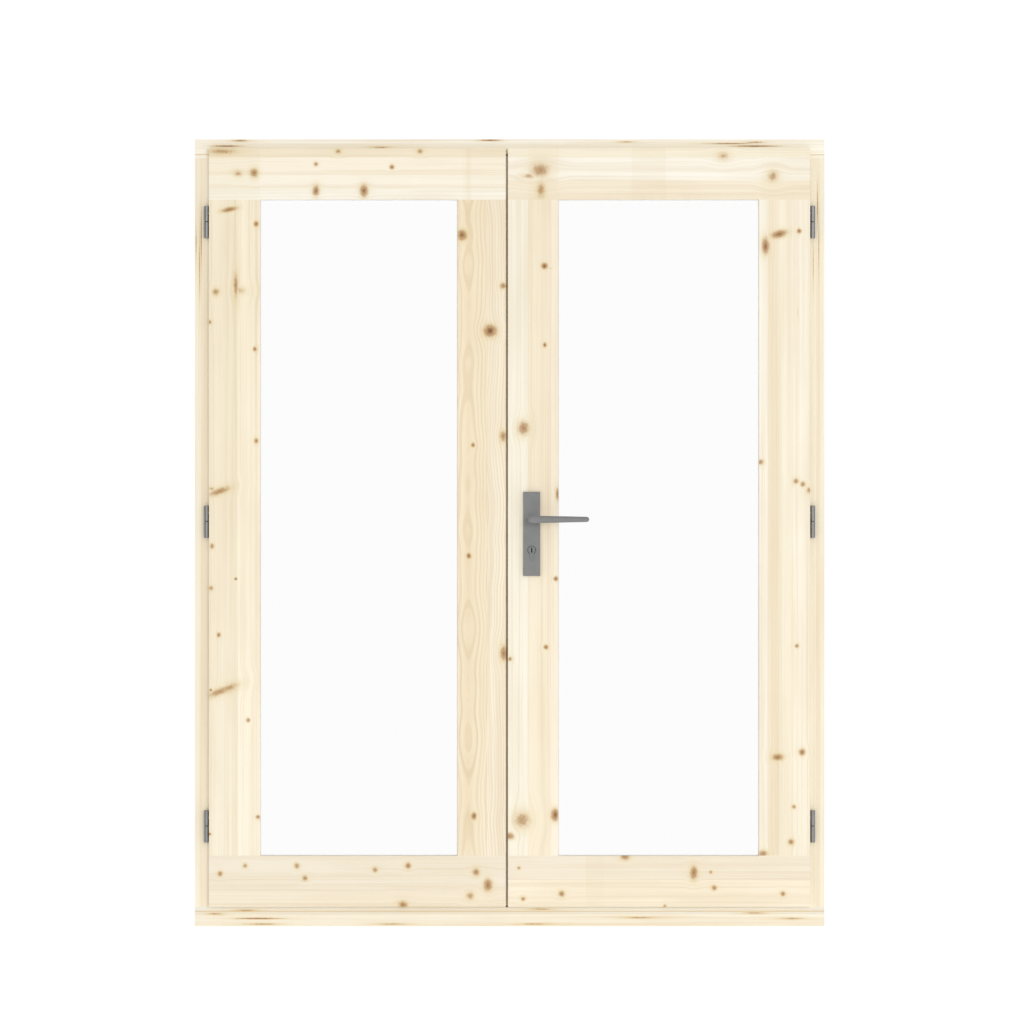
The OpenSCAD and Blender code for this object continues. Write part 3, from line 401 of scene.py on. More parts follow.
def spruce(name, level, span, strips, knots=(), washes=(), heart=(0, 140), wander=2.0, lines=1.0,
           ringed=0.0, glue=()):
    """A material for one board. span is its lowest and highest across and along, in mm.
    level is True for level grain, or two heights outside of which the grain lies level.
    strips and washes list a place in mm and a colour. heart is where the trunk's heart lay,
    across and in depth, in mm. glue lists where fine glue lines run."""
    global board_count
    board_count += 1
    material = bpy.data.materials.new(name)
    material.use_nodes = True
    tree = material.node_tree
    finish = tree.nodes["Principled BSDF"]
    place = tree.nodes.new("ShaderNodeTexCoord").outputs["Object"]
    split = tree.nodes.new("ShaderNodeSeparateXYZ")
    feed(tree, split.inputs[0], place)
    across, along = split.outputs[0], split.outputs[2]
    if level is True:
        across, along = along, across
    elif level:
        flat_low = sum_of(tree, "LESS_THAN", along, level[0])
        turned = sum_of(tree, "ADD", flat_low, sum_of(tree, "GREATER_THAN", along, level[1]))
        swing = sum_of(tree, "MULTIPLY", sum_of(tree, "SUBTRACT", along, across), turned)
        across, along = sum_of(tree, "ADD", across, swing), sum_of(tree, "SUBTRACT", along, swing)
    low_across, high_across, low_along, high_along = span
    tint = step_ramp(tree, across, low_across, high_across, strips + [strips[-1]], hard=True)
    strip = sum_of(tree, "MULTIPLY", tint, STRIP_SHIFT)
    strip = sum_of(tree, "ADD", strip, board_count * BOARD_SHIFT)
    for way, hard, steps in washes:
        value, low, high = ((along, low_along, high_along) if way == "along"
                            else (across, low_across, high_across))
        wash = step_ramp(tree, value, low, high, steps, hard)
        tint = mix_of(tree, 1.0, tint, wash, "MULTIPLY")
    pull, near = 0.0, 0.0
    flat = point_of(tree, across, along, 0.0)
    for entry in knots:
        x, z, half_x, half_z, strength = entry[:5]
        turn = math.atan(entry[5]) if len(entry) > 5 else 0.0
        if level is True:
            x, z, half_x, half_z, turn = z, x, half_z, half_x, -turn
        peak = KNOT_BASE + KNOT_GAIN * strength
        grow = 1.0
        if peak > RIM_SHOWS:
            grow = min(1 / (KNOT_REACH * (1 - RIM / peak)), LARGEST)
        bend = RING_BEND * min(1, half_z / half_x) ** BEND_FADE
        out = use_group(tree, knot, {
            "Place": flat, "Centre": (x * MM, z * MM, 0), "Turn": (0, 0, turn),
            "Size": (half_x * grow * MM, half_z * grow * MM, 1), "Strength": peak,
            "Across": across, "Knot Across": x * MM, "Bend": bend, "Pull": pull, "Near": near})
        pull, near = out["Pull"], out["Near"]
    radius = use_group(tree, rings, {
        "Along": along, "Across": across, "Through": split.outputs[1], "Pull": pull,
        "Heart Across": heart[0] * MM, "Heart Depth": heart[1] * MM, "Wander": wander * MM,
        "Strip": strip})["Radius"]
    wood = use_group(tree, grain, {
        "Radius": radius, "Along": along, "Across": across, "Strip": strip, "Tint": tint,
        "Late Wood": LATE_WOOD, "Lines": lines, "Rings": ringed})
    colour = wood["Color"]
    if knots:
        uneven = range_of(tree, noise_of(tree, place, KNOT_PATCHES, 2.0), *FIBRE_SPREAD,
                          *KNOT_UNEVEN, soft=False)
        tone, strength = knot_tones(tree, sum_of(tree, "MULTIPLY", near, uneven))
        colour = mix_of(tree, strength, colour, tone)
    for at in glue:
        line = range_of(tree, sum_of(tree, "ABSOLUTE", sum_of(tree, "SUBTRACT", across, at * MM)),
                        *GLUE_EDGES)
        colour = mix_of(tree, sum_of(tree, "MULTIPLY", line, GLUE_STRENGTH), colour, GLUE_LINE)
    feed(tree, finish.inputs["Base Color"], colour)
    feed(tree, finish.inputs["Roughness"], wood["Roughness"])
    finish.inputs["Specular IOR Level"].default_value = WOOD_GLOSS
    bump = tree.nodes.new("ShaderNodeBump")
    bump.inputs["Strength"].default_value = WOOD_BUMP
    bump.inputs["Distance"].default_value = WOOD_BUMP_HEIGHT
    feed(tree, bump.inputs["Height"], wood["Height"])
    feed(tree, finish.inputs["Normal"], bump.outputs[0])
    return material


def dress(name, material):
    """Gives a CAD solid its finish in every slot it has."""
    piece = nodes[name]
    for slot in piece.material_slots:
        slot.material = material


print("knot tones:", len(KNOT_TONES))

# %% [markdown]
# The frame comes first. Its header and sill run across the full width with level grain, and the
# jambs stand between them. Frame timber is cut with its rings on edge, so it shows straight thin
# lines and a few long brown resin streaks. The header and the sill each have one fine line where
# two layers are glued.

# %% Wood of the frame
HEADER_GLUE = 1818.6
SILL_GLUE = 35.1
header_streaks = [
    (-635, 1852, 14, 2, 0.4), (-666, 1839, 28, 2, 0.65), (-305, 1836, 16, 2, 0.3),
    (-46, 1853, 24, 2, 0.75), (274, 1849, 14, 1.5, 0.3), (578, 1839, 50, 1.8, 0.85),
    (520, 1845, 44, 1.4, 0.6), (580, 1848, 16, 1.5, 0.4)]
# The header's strips are painted light: near white, lighter than its timber, to offset the shade
# the leaves' top edge casts on the header's lower part.
header_wood = spruce(
    "spruce_header", True, (1810, 1855, -742, 742),
    [(1810, shade(255, 248, 228)), (1836, shade(252, 244, 223)), (1845, shade(255, 247, 228))],
    header_streaks, heart=STRAIGHT_GRAIN, glue=[HEADER_GLUE])
sill_streaks = [
    (-623, 37, 20, 2, 0.35), (-694, 29, 16, 2, 0.3), (-593, 18, 50, 1.8, 0.75),
    (-583, 5, 30, 1.6, 0.35), (-277, 5, 30, 1.6, 0.3), (74, 40, 20, 1.6, 0.3),
    (60, 5, 30, 1.6, 0.3), (307, 20, 30, 1.6, 0.35), (578, 31, 20, 1.6, 0.35),
    (665, 18, 22, 1.6, 0.35)]
# The sill's strips are laminate tints, toned down a little as painted shade against the light the
# glowing floor throws up on the bottom of the doors.
sill_wood = spruce(
    "spruce_sill", True, (0, 45, -742, 742),
    [(0, shade(243, 233, 210)), (12, shade(245, 237, 216)), (28, shade(236, 230, 213))],
    sill_streaks, heart=STRAIGHT_GRAIN, glue=[SILL_GLUE])
left_jamb_wood = spruce(
    "spruce_left_jamb", False, (-742.5, -680, 0, 1855),
    [(-742.5, shade(246, 236, 212)), (-728, shade(244, 230, 201)), (-716, shade(249, 240, 219))],
    [(-727, 1629, 1.1, 60, 0.75), (-731, 1560, 1.0, 60, 0.35), (-739, 1610, 1.0, 30, 0.3)],
    heart=STRAIGHT_GRAIN)
right_jamb_wood = spruce(
    "spruce_right_jamb", False, (680, 742.5, 0, 1855),
    [(680, shade(247, 237, 212)), (722, shade(244, 231, 203)), (732, shade(249, 239, 214))],
    [(726, 1700, 1.0, 40, 0.6), (729, 1600, 0.8, 45, 0.3), (716, 1560, 0.8, 45, 0.25)],
    heart=STRAIGHT_GRAIN)
dress("header", header_wood)
dress("sill", sill_wood)
dress("left_jamb", left_jamb_wood)
dress("right_jamb", right_jamb_wood)
print(board_count, "boards of the frame")

# %% [markdown]
# Each leaf has two stiles and two rails. The left leaf's hinge stile has two strips and many
# small knots. Its meeting stile was cut close to the heart of a trunk, so pointed arches run up
# it. Both rails run through to the leaf's outer edges, above and below the stiles.

# %% Wood of the left leaf
left_hinge_knots = [
    (-661, 1689, 17, 5, 0.75, 0.2), (-597, 1655, 5, 6, 0.8), (-645, 1510, 4, 22, 0.5),
    (-634, 1498, 10, 6, 0.15),
    (-692, 1495, 6, 6, 0.45), (-706, 1424, 3, 4, 0.5), (-600, 1360, 4, 5, 0.7),
    (-597, 1144, 4, 5, 0.6), (-684, 1025, 20, 6, 0.5, 0.35), (-702, 1031, 4, 3, 0.35),
    (-668, 1029, 12, 4, 0.25, 0.3), (-701, 896, 4, 5, 0.6),
    (-645, 819, 3, 3, 0.9), (-703, 797, 4, 4, 0.5), (-685, 687, 4, 5, 0.7),
    (-684, 553, 22, 6, 0.45, 0.4), (-660, 562, 18, 7, 0.3, 0.4), (-704, 557, 3, 3, 0.9),
    (-616, 486, 4, 4, 0.6), (-706, 218, 3, 3, 0.6),
    (-593, 258, 4, 4, 0.6)]
left_hinge_wood = spruce(
    "spruce_left_hinge_stile", False, (-708, -560, 40, 1830),
    [(-708, shade(248, 236, 209)), (-640, shade(252, 240, 213))],
    left_hinge_knots,
    [("along", False, [(40, (1.0, 1.02, 1.05, 1)), (700, (1.0, 1.0, 1.0, 1)),
                       (1300, (0.985, 0.975, 0.95, 1)), (1830, (0.985, 0.975, 0.95, 1))]),
     ("across", False, [(-708, (1, 1, 1, 1)), (-668, (1, 1, 1, 1)), (-646, (0.95, 0.94, 0.90, 1)),
                        (-638, (1, 1, 1, 1)), (-560, (1, 1, 1, 1))])],
    heart=(-900, 160))
left_meeting_knots = [
    (-112, 1629, 11, 12, 0.85), (-46, 1403, 15, 14, 0.95), (-15, 1509, 6, 6, 0.55),
    (-15, 1155, 6, 10, 0.5), (-86, 1134, 4, 5, 0.7), (-96, 873, 5, 6, 0.85),
    (-14, 644, 7, 15, 0.6), (-84, 260, 6, 8, 0.85)]
left_meeting_wood = spruce(
    "spruce_left_meeting_stile", False, (-125, 10, 40, 1830),
    [(-125, shade(246, 230, 198)), (-53, shade(249, 236, 210))],
    left_meeting_knots,
    [("along", False, [(40, (1.0, 1.02, 1.06, 1)), (500, (1.0, 1.0, 1.0, 1)),
                       (1830, (0.985, 0.97, 0.95, 1))]),
     ("across", False, [(-125, (1, 1, 1, 1)), (-110, (1, 1, 1, 1)), (-97, (0.96, 0.93, 0.88, 1)),
                        (-82, (1, 1, 1, 1)), (10, (1, 1, 1, 1))])],
    heart=(-97, 22), wander=30.0, lines=1.6, ringed=0.42)
left_top_knots = [
    (-404, 1826, 5, 4, 0.4), (-211, 1826, 5, 4, 0.4), (-456, 1796, 4, 4, 0.6),
    (-277, 1789, 5, 5, 0.75), (-456, 1733, 7, 11, 0.7), (-343, 1733, 9, 13, 0.8),
    (-602, 1775, 8, 9, 0.6), (-640, 1774, 7, 5, 0.3), (-677, 1826, 26, 6, 0.3)]
left_top_wood = spruce(
    "spruce_left_top_rail", True, (1712, 1834, -708, 0),
    [(1712, shade(253, 246, 227)), (1736, shade(252, 242, 219)), (1770, shade(251, 239, 214)),
     (1812, shade(244, 229, 199))],
    left_top_knots,
    [("along", True, [(-708, (0.975, 0.965, 0.94, 1)), (-590, (1, 1, 1, 1)),
                      (-112, (0.985, 0.975, 0.955, 1)), (-104, (0.95, 0.93, 0.89, 1)),
                      (-92, (0.985, 0.98, 0.965, 1)), (0, (0.985, 0.98, 0.965, 1))])],
    heart=(2100, 200))
left_bottom_knots = [
    (-682, 124, 5, 5, 0.6), (-623, 143, 4, 4, 0.5), (-501, 143, 5, 5, 0.5),
    (-482, 114, 5, 5, 0.6), (-317, 133, 5, 5, 0.6), (-239, 143, 6, 6, 0.6),
    (-251, 51, 9, 7, 0.6), (-79, 128, 7, 7, 0.6), (-51, 98, 9, 13, 0.7), (-93, 72, 6, 6, 0.4)]
# The bottom rail's strips are laminate tints, toned down a little as painted shade against the
# light the glowing floor throws up on the bottom of the doors.
left_bottom_wood = spruce(
    "spruce_left_bottom_rail", True, (38, 168, -708, 0),
    [(38, shade(242, 229, 203)), (84, shade(241, 230, 207))],
    left_bottom_knots, heart=(-300, 200))
dress("passive_hinge_stile", left_hinge_wood)
dress("passive_meeting_stile", left_meeting_wood)
dress("passive_top_rail", left_top_wood)
dress("passive_bottom_rail", left_bottom_wood)
print(board_count, "boards with the left leaf")

# %% [markdown]
# The right leaf is built the same way. Its lock stile is glued from three strips, its hinge
# stile from four very pale ones, and its rails are joined end to end from shorter lengths.

# %% Wood of the right leaf
right_lock_knots = [
    (82, 1556, 7, 7, 0.95), (96, 1551, 5, 2, 0.1), (83, 1370, 4, 5, 0.75),
    (33, 1174, 11, 14, 0.6), (113, 1019, 4, 12, 0.6), (109, 819, 5, 5, 0.7),
    (86, 658, 5, 5, 0.8), (1, 630, 4, 4, 0.6), (29, 251, 13, 13, 0.4), (107, 263, 9, 14, 0.85),
    (1, 213, 8, 7, 0.6)]
right_lock_wood = spruce(
    "spruce_right_lock_stile", False, (-4, 116, 40, 1830),
    [(-4, shade(248, 239, 216)), (43, shade(246, 232, 203)), (98, shade(249, 235, 210))],
    right_lock_knots,
    [("along", False, [(40, (1.02, 1.03, 1.05, 1)), (700, (1.01, 1.02, 1.03, 1)),
                       (1830, (0.985, 0.98, 0.97, 1))])],
    heart=(900, 160))
right_hinge_knots = [
    (635, 1631, 18, 8, 0.8, 0.25), (603, 1603, 8, 18, 0.75), (682, 1638, 5, 5, 0.75),
    (679, 1448, 1.2, 24, 0.1), (592, 1094, 5, 5, 0.6), (675, 1049, 5, 5, 0.6),
    (691, 1042, 5, 5, 0.6), (705, 1028, 4, 5, 0.4), (677, 661, 4, 4, 0.6),
    (670, 700, 5, 130, -0.45), (632, 399, 12, 7, 0.7), (689, 411, 7, 7, 0.7),
    (670, 282, 4, 4, 0.6), (663, 199, 6, 6, 0.6), (597, 171, 9, 7, 0.6)]
right_hinge_wood = spruce(
    "spruce_right_hinge_stile", False, (560, 708, 40, 1830),
    [(560, shade(251, 242, 220)), (609, shade(245, 231, 202)), (636, shade(249, 238, 212)),
     (668, shade(252, 242, 219))],
    right_hinge_knots,
    [("along", False, [(40, (0.95, 0.94, 0.92, 1)), (500, (0.97, 0.96, 0.94, 1)),
                       (1100, (1.0, 1.0, 1.0, 1)), (1830, (1.0, 1.0, 1.0, 1))])],
    heart=(1100, 160))
right_top_knots = [
    (503, 1815, 10, 7, 0.25), (72, 1782, 16, 12, 0.5), (74, 1735, 7, 12, 0.4),
    (45, 1768, 12, 5, 0.25), (620, 1768, 9, 9, 0.35)]
right_top_wood = spruce(
    "spruce_right_top_rail", True, (1712, 1834, 0, 708),
    [(1712, shade(248, 235, 208)), (1757, shade(253, 245, 226)), (1812, shade(248, 236, 209))],
    right_top_knots,
    [("along", True, [(0, (1.0, 1.0, 1.0, 1)), (43, (0.98, 0.97, 0.95, 1)),
                      (115, (1, 1, 1, 1)), (286, (0.97, 0.96, 0.94, 1)), (366, (1, 1, 1, 1)),
                      (590, (0.985, 0.98, 0.965, 1)), (708, (0.985, 0.98, 0.965, 1))])],
    heart=(2100, 200))
right_bottom_knots = [
    (272, 164, 9, 6, 0.6), (434, 126, 8, 14, 0.7), (474, 128, 3, 3, 0.6), (482, 91, 5, 5, 0.6),
    (123, 77, 6, 6, 0.6), (32, 65, 4, 4, 0.5), (22, 138, 3, 3, 0.5), (366, 48, 3, 3, 0.5),
    (644, 77, 5, 5, 0.6)]
# As on the left leaf, this bottom rail's strips are toned down a little as painted shade against
# the light from the glowing floor.
right_bottom_wood = spruce(
    "spruce_right_bottom_rail", True, (38, 168, 0, 708),
    [(38, shade(249, 237, 211)), (110, shade(242, 230, 206))],
    right_bottom_knots,
    [("along", True, [(0, (1, 1, 1, 1)), (178, (0.975, 0.965, 0.945, 1)),
                      (220, (0.99, 0.985, 0.98, 1)), (708, (0.99, 0.985, 0.98, 1))])],
    heart=(-300, 200))
dress("active_lock_stile", right_lock_wood)
dress("active_hinge_stile", right_hinge_wood)
dress("active_top_rail", right_top_wood)
dress("active_bottom_rail", right_bottom_wood)
print(board_count, "boards with both leaves")

# %% [markdown]
# Thin beads hold the panes from the inside. The beads round one pane are one solid, so they share
# one material, and the grain has to turn: it lies level in the top and bottom bead, and stands
# upright between them. Two heights, one bead's width in from the ends, say where it turns.

# %% Wood of the glazing beads
BEAD_WIDTH = 14 * MM
bead_low, bead_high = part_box("active_beads")
bead_wood = spruce(
    "spruce_beads", (bead_low.z + BEAD_WIDTH, bead_high.z - BEAD_WIDTH), (-708, 708, 40, 1830),
    [(-708, shade(248, 236, 208))], heart=STRAIGHT_GRAIN)
dress("passive_beads", bead_wood)
dress("active_beads", bead_wood)
print(board_count, "boards dressed")

# %% [markdown]
# Metal, plastic and rubber parts share one recipe: a colour that varies by a shade, fine brushing
# along one direction and a soft unevenness. Each material then sets its own metal value and gloss
# on the shader itself, and gives the recipe its colour and roughness.

# %% Worked metal
BRUSH_ACROSS = 1800
BRUSH_ALONG = 120
PATCH_RATE = 45
NOISE_SPREAD = (0.3, 0.7)
PATCH_SHADES = (0.95, 1.05)
WORKED_BUMP = 0.3
metal, m_in, m_out = new_group(
    "worked_surface",
    [("Place", VECTOR, (0, 0, 0)), ("Tone", COLOUR, (0.5, 0.5, 0.5, 1)),
     ("Smooth", FLOAT, 0.3), ("Uneven", FLOAT, 0.1)],
    [("Color", COLOUR), ("Roughness", FLOAT), ("Height", FLOAT)])
split_place = metal.nodes.new("ShaderNodeSeparateXYZ")
feed(metal, split_place.inputs[0], m_in["Place"])
brushed = noise_of(metal, point_of(
    metal, sum_of(metal, "MULTIPLY", split_place.outputs[0], BRUSH_ACROSS),
    sum_of(metal, "MULTIPLY", split_place.outputs[1], BRUSH_ACROSS),
    sum_of(metal, "MULTIPLY", split_place.outputs[2], BRUSH_ALONG)), 1.0, 2.0)
patches = noise_of(metal, m_in["Place"], PATCH_RATE, 3.0)
tone = range_of(metal, patches, *NOISE_SPREAD, *PATCH_SHADES, soft=False)
feed(metal, m_out["Color"], mix_of(metal, 1.0, m_in["Tone"], tone, "MULTIPLY"))
scatter = range_of(metal, brushed, *NOISE_SPREAD, -0.5, 0.5, soft=False)
feed(metal, m_out["Roughness"], sum_of(metal, "ADD", m_in["Smooth"],
                                       sum_of(metal, "MULTIPLY", scatter, m_in["Uneven"])))
feed(metal, m_out["Height"], brushed)


def worked(name, tone, smooth, uneven, metallic, gloss=0.5, bump_height=0.03 * MM):
    """A metal, plastic or rubber finish."""
    material = bpy.data.materials.new(name)
    material.use_nodes = True
    tree = material.node_tree
    finish = tree.nodes["Principled BSDF"]
    place = tree.nodes.new("ShaderNodeTexCoord").outputs["Object"]
    out = use_group(tree, metal, {"Place": place, "Tone": tone, "Smooth": smooth,
                                  "Uneven": uneven})
    feed(tree, finish.inputs["Base Color"], out["Color"])
    feed(tree, finish.inputs["Roughness"], out["Roughness"])
    finish.inputs["Metallic"].default_value = metallic
    finish.inputs["Specular IOR Level"].default_value = gloss
    bump = tree.nodes.new("ShaderNodeBump")
    bump.inputs["Strength"].default_value = WORKED_BUMP
    bump.inputs["Distance"].default_value = bump_height
    feed(tree, bump.inputs["Height"], out["Height"])
    feed(tree, finish.inputs["Normal"], bump.outputs[0])
    return material


handle_grey = worked("powder_grey_handle", shade(133, 133, 133), 0.6, 0.06, 0.0, 0.2)
hinge_steel = worked("zinc_hinge", shade(138, 139, 140), 0.36, 0.1, 0.9)
cylinder_metal = worked("grey_cylinder", shade(131, 131, 131), 0.55, 0.06, 0.0, 0.2)
zinc_steel = worked("zinc_steel", shade(200, 201, 203), 0.36, 0.15, 0.95)
# The spacer and the glazing tape are pale as painted light: lighter than such parts are, so the
# edges of the panes don't read as a dark line.
spacer_metal = worked("glass_spacer", shade(226, 226, 226), 0.5, 0.1, 0.0)
pale_tape = worked("glazing_tape", shade(232, 228, 216), 0.7, 0.1, 0.0, 0.3)
black_rubber = worked("seal_rubber", shade(62, 58, 54), 0.7, 0.1, 0.0, 0.3, 0.1 * MM)
plastic = worked("setting_block_plastic", shade(70, 72, 76), 0.5, 0.1, 0.0)
print("worked surface:", len(metal.nodes), "nodes")

# %% [markdown]
# Window glass is almost colourless, with a trace of green. It keeps a plain transmission value,
# so that it stays glass wherever the model is used, and its faint film is in its roughness.
# Real panes cast hardly any shadow, so nearly all shadow rays pass through them, and the beads
# and spacers behind the glass stay light.

# %% Glass
GLASS_TINT = (0.988, 0.99, 0.988, 1)
GLASS_IOR = 1.45
FILM_RATE = 3.0
FILM_CUT = (0.35, 0.75)
FILM_ROUGHNESS = (0.0, 0.008)
GLASS_SHADOW = 0.06
glass = bpy.data.materials.new("clear_window_glass")
glass.use_nodes = True
glass_tree = glass.node_tree
glass_finish = glass_tree.nodes["Principled BSDF"]
glass_finish.inputs["Base Color"].default_value = GLASS_TINT
glass_finish.inputs["Transmission Weight"].default_value = 1.0
glass_finish.inputs["Metallic"].default_value = 0.0
glass_finish.inputs["IOR"].default_value = GLASS_IOR
glass_place = glass_tree.nodes.new("ShaderNodeTexCoord").outputs["Object"]
film = noise_of(glass_tree, glass_place, FILM_RATE, 3.0)
feed(glass_tree, glass_finish.inputs["Roughness"],
     range_of(glass_tree, film, *FILM_CUT, *FILM_ROUGHNESS))
glass_path = glass_tree.nodes.new("ShaderNodeLightPath")
feed(glass_tree, glass_finish.inputs["Alpha"],
     range_of(glass_tree, glass_path.outputs["Is Shadow Ray"], 0, 1, 1.0, GLASS_SHADOW,
              soft=False))
print("glass shadow", GLASS_SHADOW)

# %% [markdown]
# Seen from the front, the slot for the key is a dark line, since little light gets into it. The
# plug gets the same grey as the plate, and a mask in its own coordinates darkens the slot.

# %% Cylinder plug with its dark slot
CYLINDER_R = 8.5 * MM
cylinder_low, cylinder_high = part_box("cylinder_body")
KEY_MIDDLE = ((cylinder_low.x + cylinder_high.x) / 2, cylinder_high.z - CYLINDER_R)
KEY_HALF_WIDTH = 1.1 * MM
KEY_HALF_HEIGHT = 5.6 * MM
SIDE_FADE = (KEY_HALF_WIDTH * 1.2, KEY_HALF_WIDTH * 0.8)
END_FADE = (KEY_HALF_HEIGHT * 1.05, KEY_HALF_HEIGHT * 0.95)
SLOT_DARK = shade(78, 77, 76)
plug_grey = worked("grey_cylinder_plug", shade(131, 131, 131), 0.55, 0.06, 0.0, 0.2)
plug_tree = plug_grey.node_tree
plug_finish = plug_tree.nodes["Principled BSDF"]
plug_place = plug_tree.nodes.new("ShaderNodeSeparateXYZ")
feed(plug_tree, plug_place.inputs[0], plug_tree.nodes.new("ShaderNodeTexCoord").outputs["Object"])
aside = sum_of(plug_tree, "ABSOLUTE",
               sum_of(plug_tree, "SUBTRACT", plug_place.outputs[0], KEY_MIDDLE[0]))
above = sum_of(plug_tree, "ABSOLUTE",
               sum_of(plug_tree, "SUBTRACT", plug_place.outputs[2], KEY_MIDDLE[1]))
in_slot = sum_of(plug_tree, "MULTIPLY",
                 range_of(plug_tree, aside, *SIDE_FADE), range_of(plug_tree, above, *END_FADE))
plug_colour = plug_finish.inputs["Base Color"].links[0].from_socket
feed(plug_tree, plug_finish.inputs["Base Color"],
     mix_of(plug_tree, in_slot, plug_colour, SLOT_DARK))
print("slot masked", KEY_HALF_WIDTH * 2, "by", KEY_HALF_HEIGHT * 2, "m")

# %% [markdown]
# A thin dark gasket lies behind each plate, close round the cylinder. It keeps draught and light
# out of the lock, and its dark colour is painted shade: it makes the narrow gap round the
# cylinder read as a dark line. Its outline is that of a profile cylinder, a round head on a
# narrow foot, drawn twice with two offsets and joined into one flat ring.

# %% Gaskets round the cylinder
def new_piece(name, verts, faces, finish):
    """A mesh object from its corners and faces, with one finish."""
    mesh = bpy.data.meshes.new(name)
    mesh.from_pydata(verts, [], faces)
    mesh.update()
    piece = bpy.data.objects.new(name, mesh)
    bpy.context.scene.collection.objects.link(piece)
    mesh.materials.append(finish)
    return piece


def ring_of(name, loops, finish):
    """A closed ring through several loops of points, each joined to the next."""
    count = len(loops[0])
    verts = [point for loop in loops for point in loop]
    faces = []
    for first in range(len(loops)):
        second = (first + 1) % len(loops)
        for step in range(count):
            after = (step + 1) % count
            faces.append((first * count + step, first * count + after,
                          second * count + after, second * count + step))
    return new_piece(name, verts, faces, finish)


FOOT_HALF = 5 * MM
FOOT_DOWN = 19.5 * MM
GASKET_IN = 0.05 * MM
GASKET_OUT = 0.45 * MM
GASKET_BEHIND = 0.1 * MM
GASKET_T = 0.4 * MM
ARC_STEPS = 32


def cylinder_outline(grown):
    """The outline of the cylinder seen from the front, as offsets from its middle."""
    head = CYLINDER_R + grown
    foot = FOOT_HALF + grown
    start = -math.acos(foot / head)
    sweep = math.pi - 2 * start
    points = [(head * math.cos(start + sweep * step / ARC_STEPS),
               head * math.sin(start + sweep * step / ARC_STEPS)) for step in range(ARC_STEPS + 1)]
    points += [(foot * math.cos(math.pi * (1 + step / ARC_STEPS)),
                -FOOT_DOWN + foot * math.sin(math.pi * (1 + step / ARC_STEPS)))
               for step in range(ARC_STEPS + 1)]
    return points


def gasket(name, front):
    """A flat dark ring round the cylinder, with its front at the given depth."""
    back = front + GASKET_T
    loops = [[(KEY_MIDDLE[0] + x, depth, KEY_MIDDLE[1] + z) for x, z in cylinder_outline(grown)]
             for grown, depth in ((GASKET_IN, front), (GASKET_OUT, front),
                                  (GASKET_OUT, back), (GASKET_IN, back))]
    ring = ring_of(name, loops, black_rubber)
    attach(ring, "active_leaf")


stile_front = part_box("active_lock_stile")[0].y
gasket("outer_cylinder_gasket", stile_front + GASKET_BEHIND)
gasket("inner_cylinder_gasket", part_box("inner_plate")[0].y - GASKET_BEHIND - GASKET_T)
print("gaskets", round(GASKET_T / MM, 2), "mm thick")

# %% [markdown]
# The panes are sealed in front with a fine run of pale silicone, drawn round the opening between
# the wooden lip and the glass. It covers the edge of the glass, where the bead behind would show
# as a dark line. Its section has a slanted face, as a wet finger leaves it, and the four runs
# meet in mitred corners.

# %% Silicone round the panes
SILICONE_IN = 1.1 * MM
SILICONE_BACK = 0.9 * MM
SILICONE_T = 1.9 * MM
SILICONE_TIP = 0.1 * MM
SILICONE_AIR = 0.04 * MM
silicone = worked("pale_silicone", shade(250, 249, 246), 0.4, 0.05, 0.0, 0.4)


def silicone_run(name, body, pane, left, right, bottom, top):
    """A seal round one opening. left, right, bottom and top are the boards round it."""
    glass_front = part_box(pane)[0].y - SILICONE_AIR
    sides = (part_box(left)[1].x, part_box(right)[0].x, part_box(bottom)[1].z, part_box(top)[0].z)
    section = [(-SILICONE_BACK, 0.0), (SILICONE_IN, 0.0), (SILICONE_TIP, SILICONE_T),
               (-SILICONE_BACK, SILICONE_T)]
    loops = []
    for inward, forward in section:
        x0, x1 = sides[0] + inward, sides[1] - inward
        z0, z1 = sides[2] + inward, sides[3] - inward
        loops.append([(x, glass_front - forward, z)
                      for x, z in ((x0, z0), (x1, z0), (x1, z1), (x0, z1))])
    run = ring_of(name, loops, silicone)
    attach(run, body)
    print(name, "round", round(sides[1] - sides[0], 3), "by", round(sides[3] - sides[2], 3), "m")


silicone_run("passive_silicone", "passive_leaf", "passive_panes", "passive_hinge_stile",
             "passive_meeting_stile", "passive_bottom_rail", "passive_top_rail")
silicone_run("active_silicone", "active_leaf", "active_panes", "active_lock_stile",
             "active_hinge_stile", "active_bottom_rail", "active_top_rail")

# %% [markdown]
# The rest of the solids carry a slot name from the CAD model, such as zinc_steel. One table says
# which finish each slot gets, so a screw or a spindle needs no line of its own. The tapes and the
# cylinder's plugs then get finishes of their own.

# %% Finishes by slot
SLOT_FINISH = {
    "hinge_steel": hinge_steel, "handle_grey": handle_grey, "cylinder_metal": cylinder_metal,
    "zinc_steel": zinc_steel, "clear_glass": glass, "spacer_metal": spacer_metal,
    "black_rubber": black_rubber, "plastic": plastic}
for part in frame["record"]["subparts"]:
    if part["material_slot"] in SLOT_FINISH:
        dress(part["node"], SLOT_FINISH[part["material_slot"]])
# The tapes get the pale painted-light finish instead of their slot's black rubber.
dress("passive_tape", pale_tape)
dress("active_tape", pale_tape)
dress("cylinder_plugs", plug_grey)
print("finishes by slot:", sorted(SLOT_FINISH))

# %% [markdown]
# A planed board never has a razor edge: sandpaper takes about half a millimetre off it. A bevel
# modifier rounds the edges of every board in the same way, and a finer one rounds the plates and
# levers.
# The small groove that two rounded edges leave is what shows a joint between stile and rail.

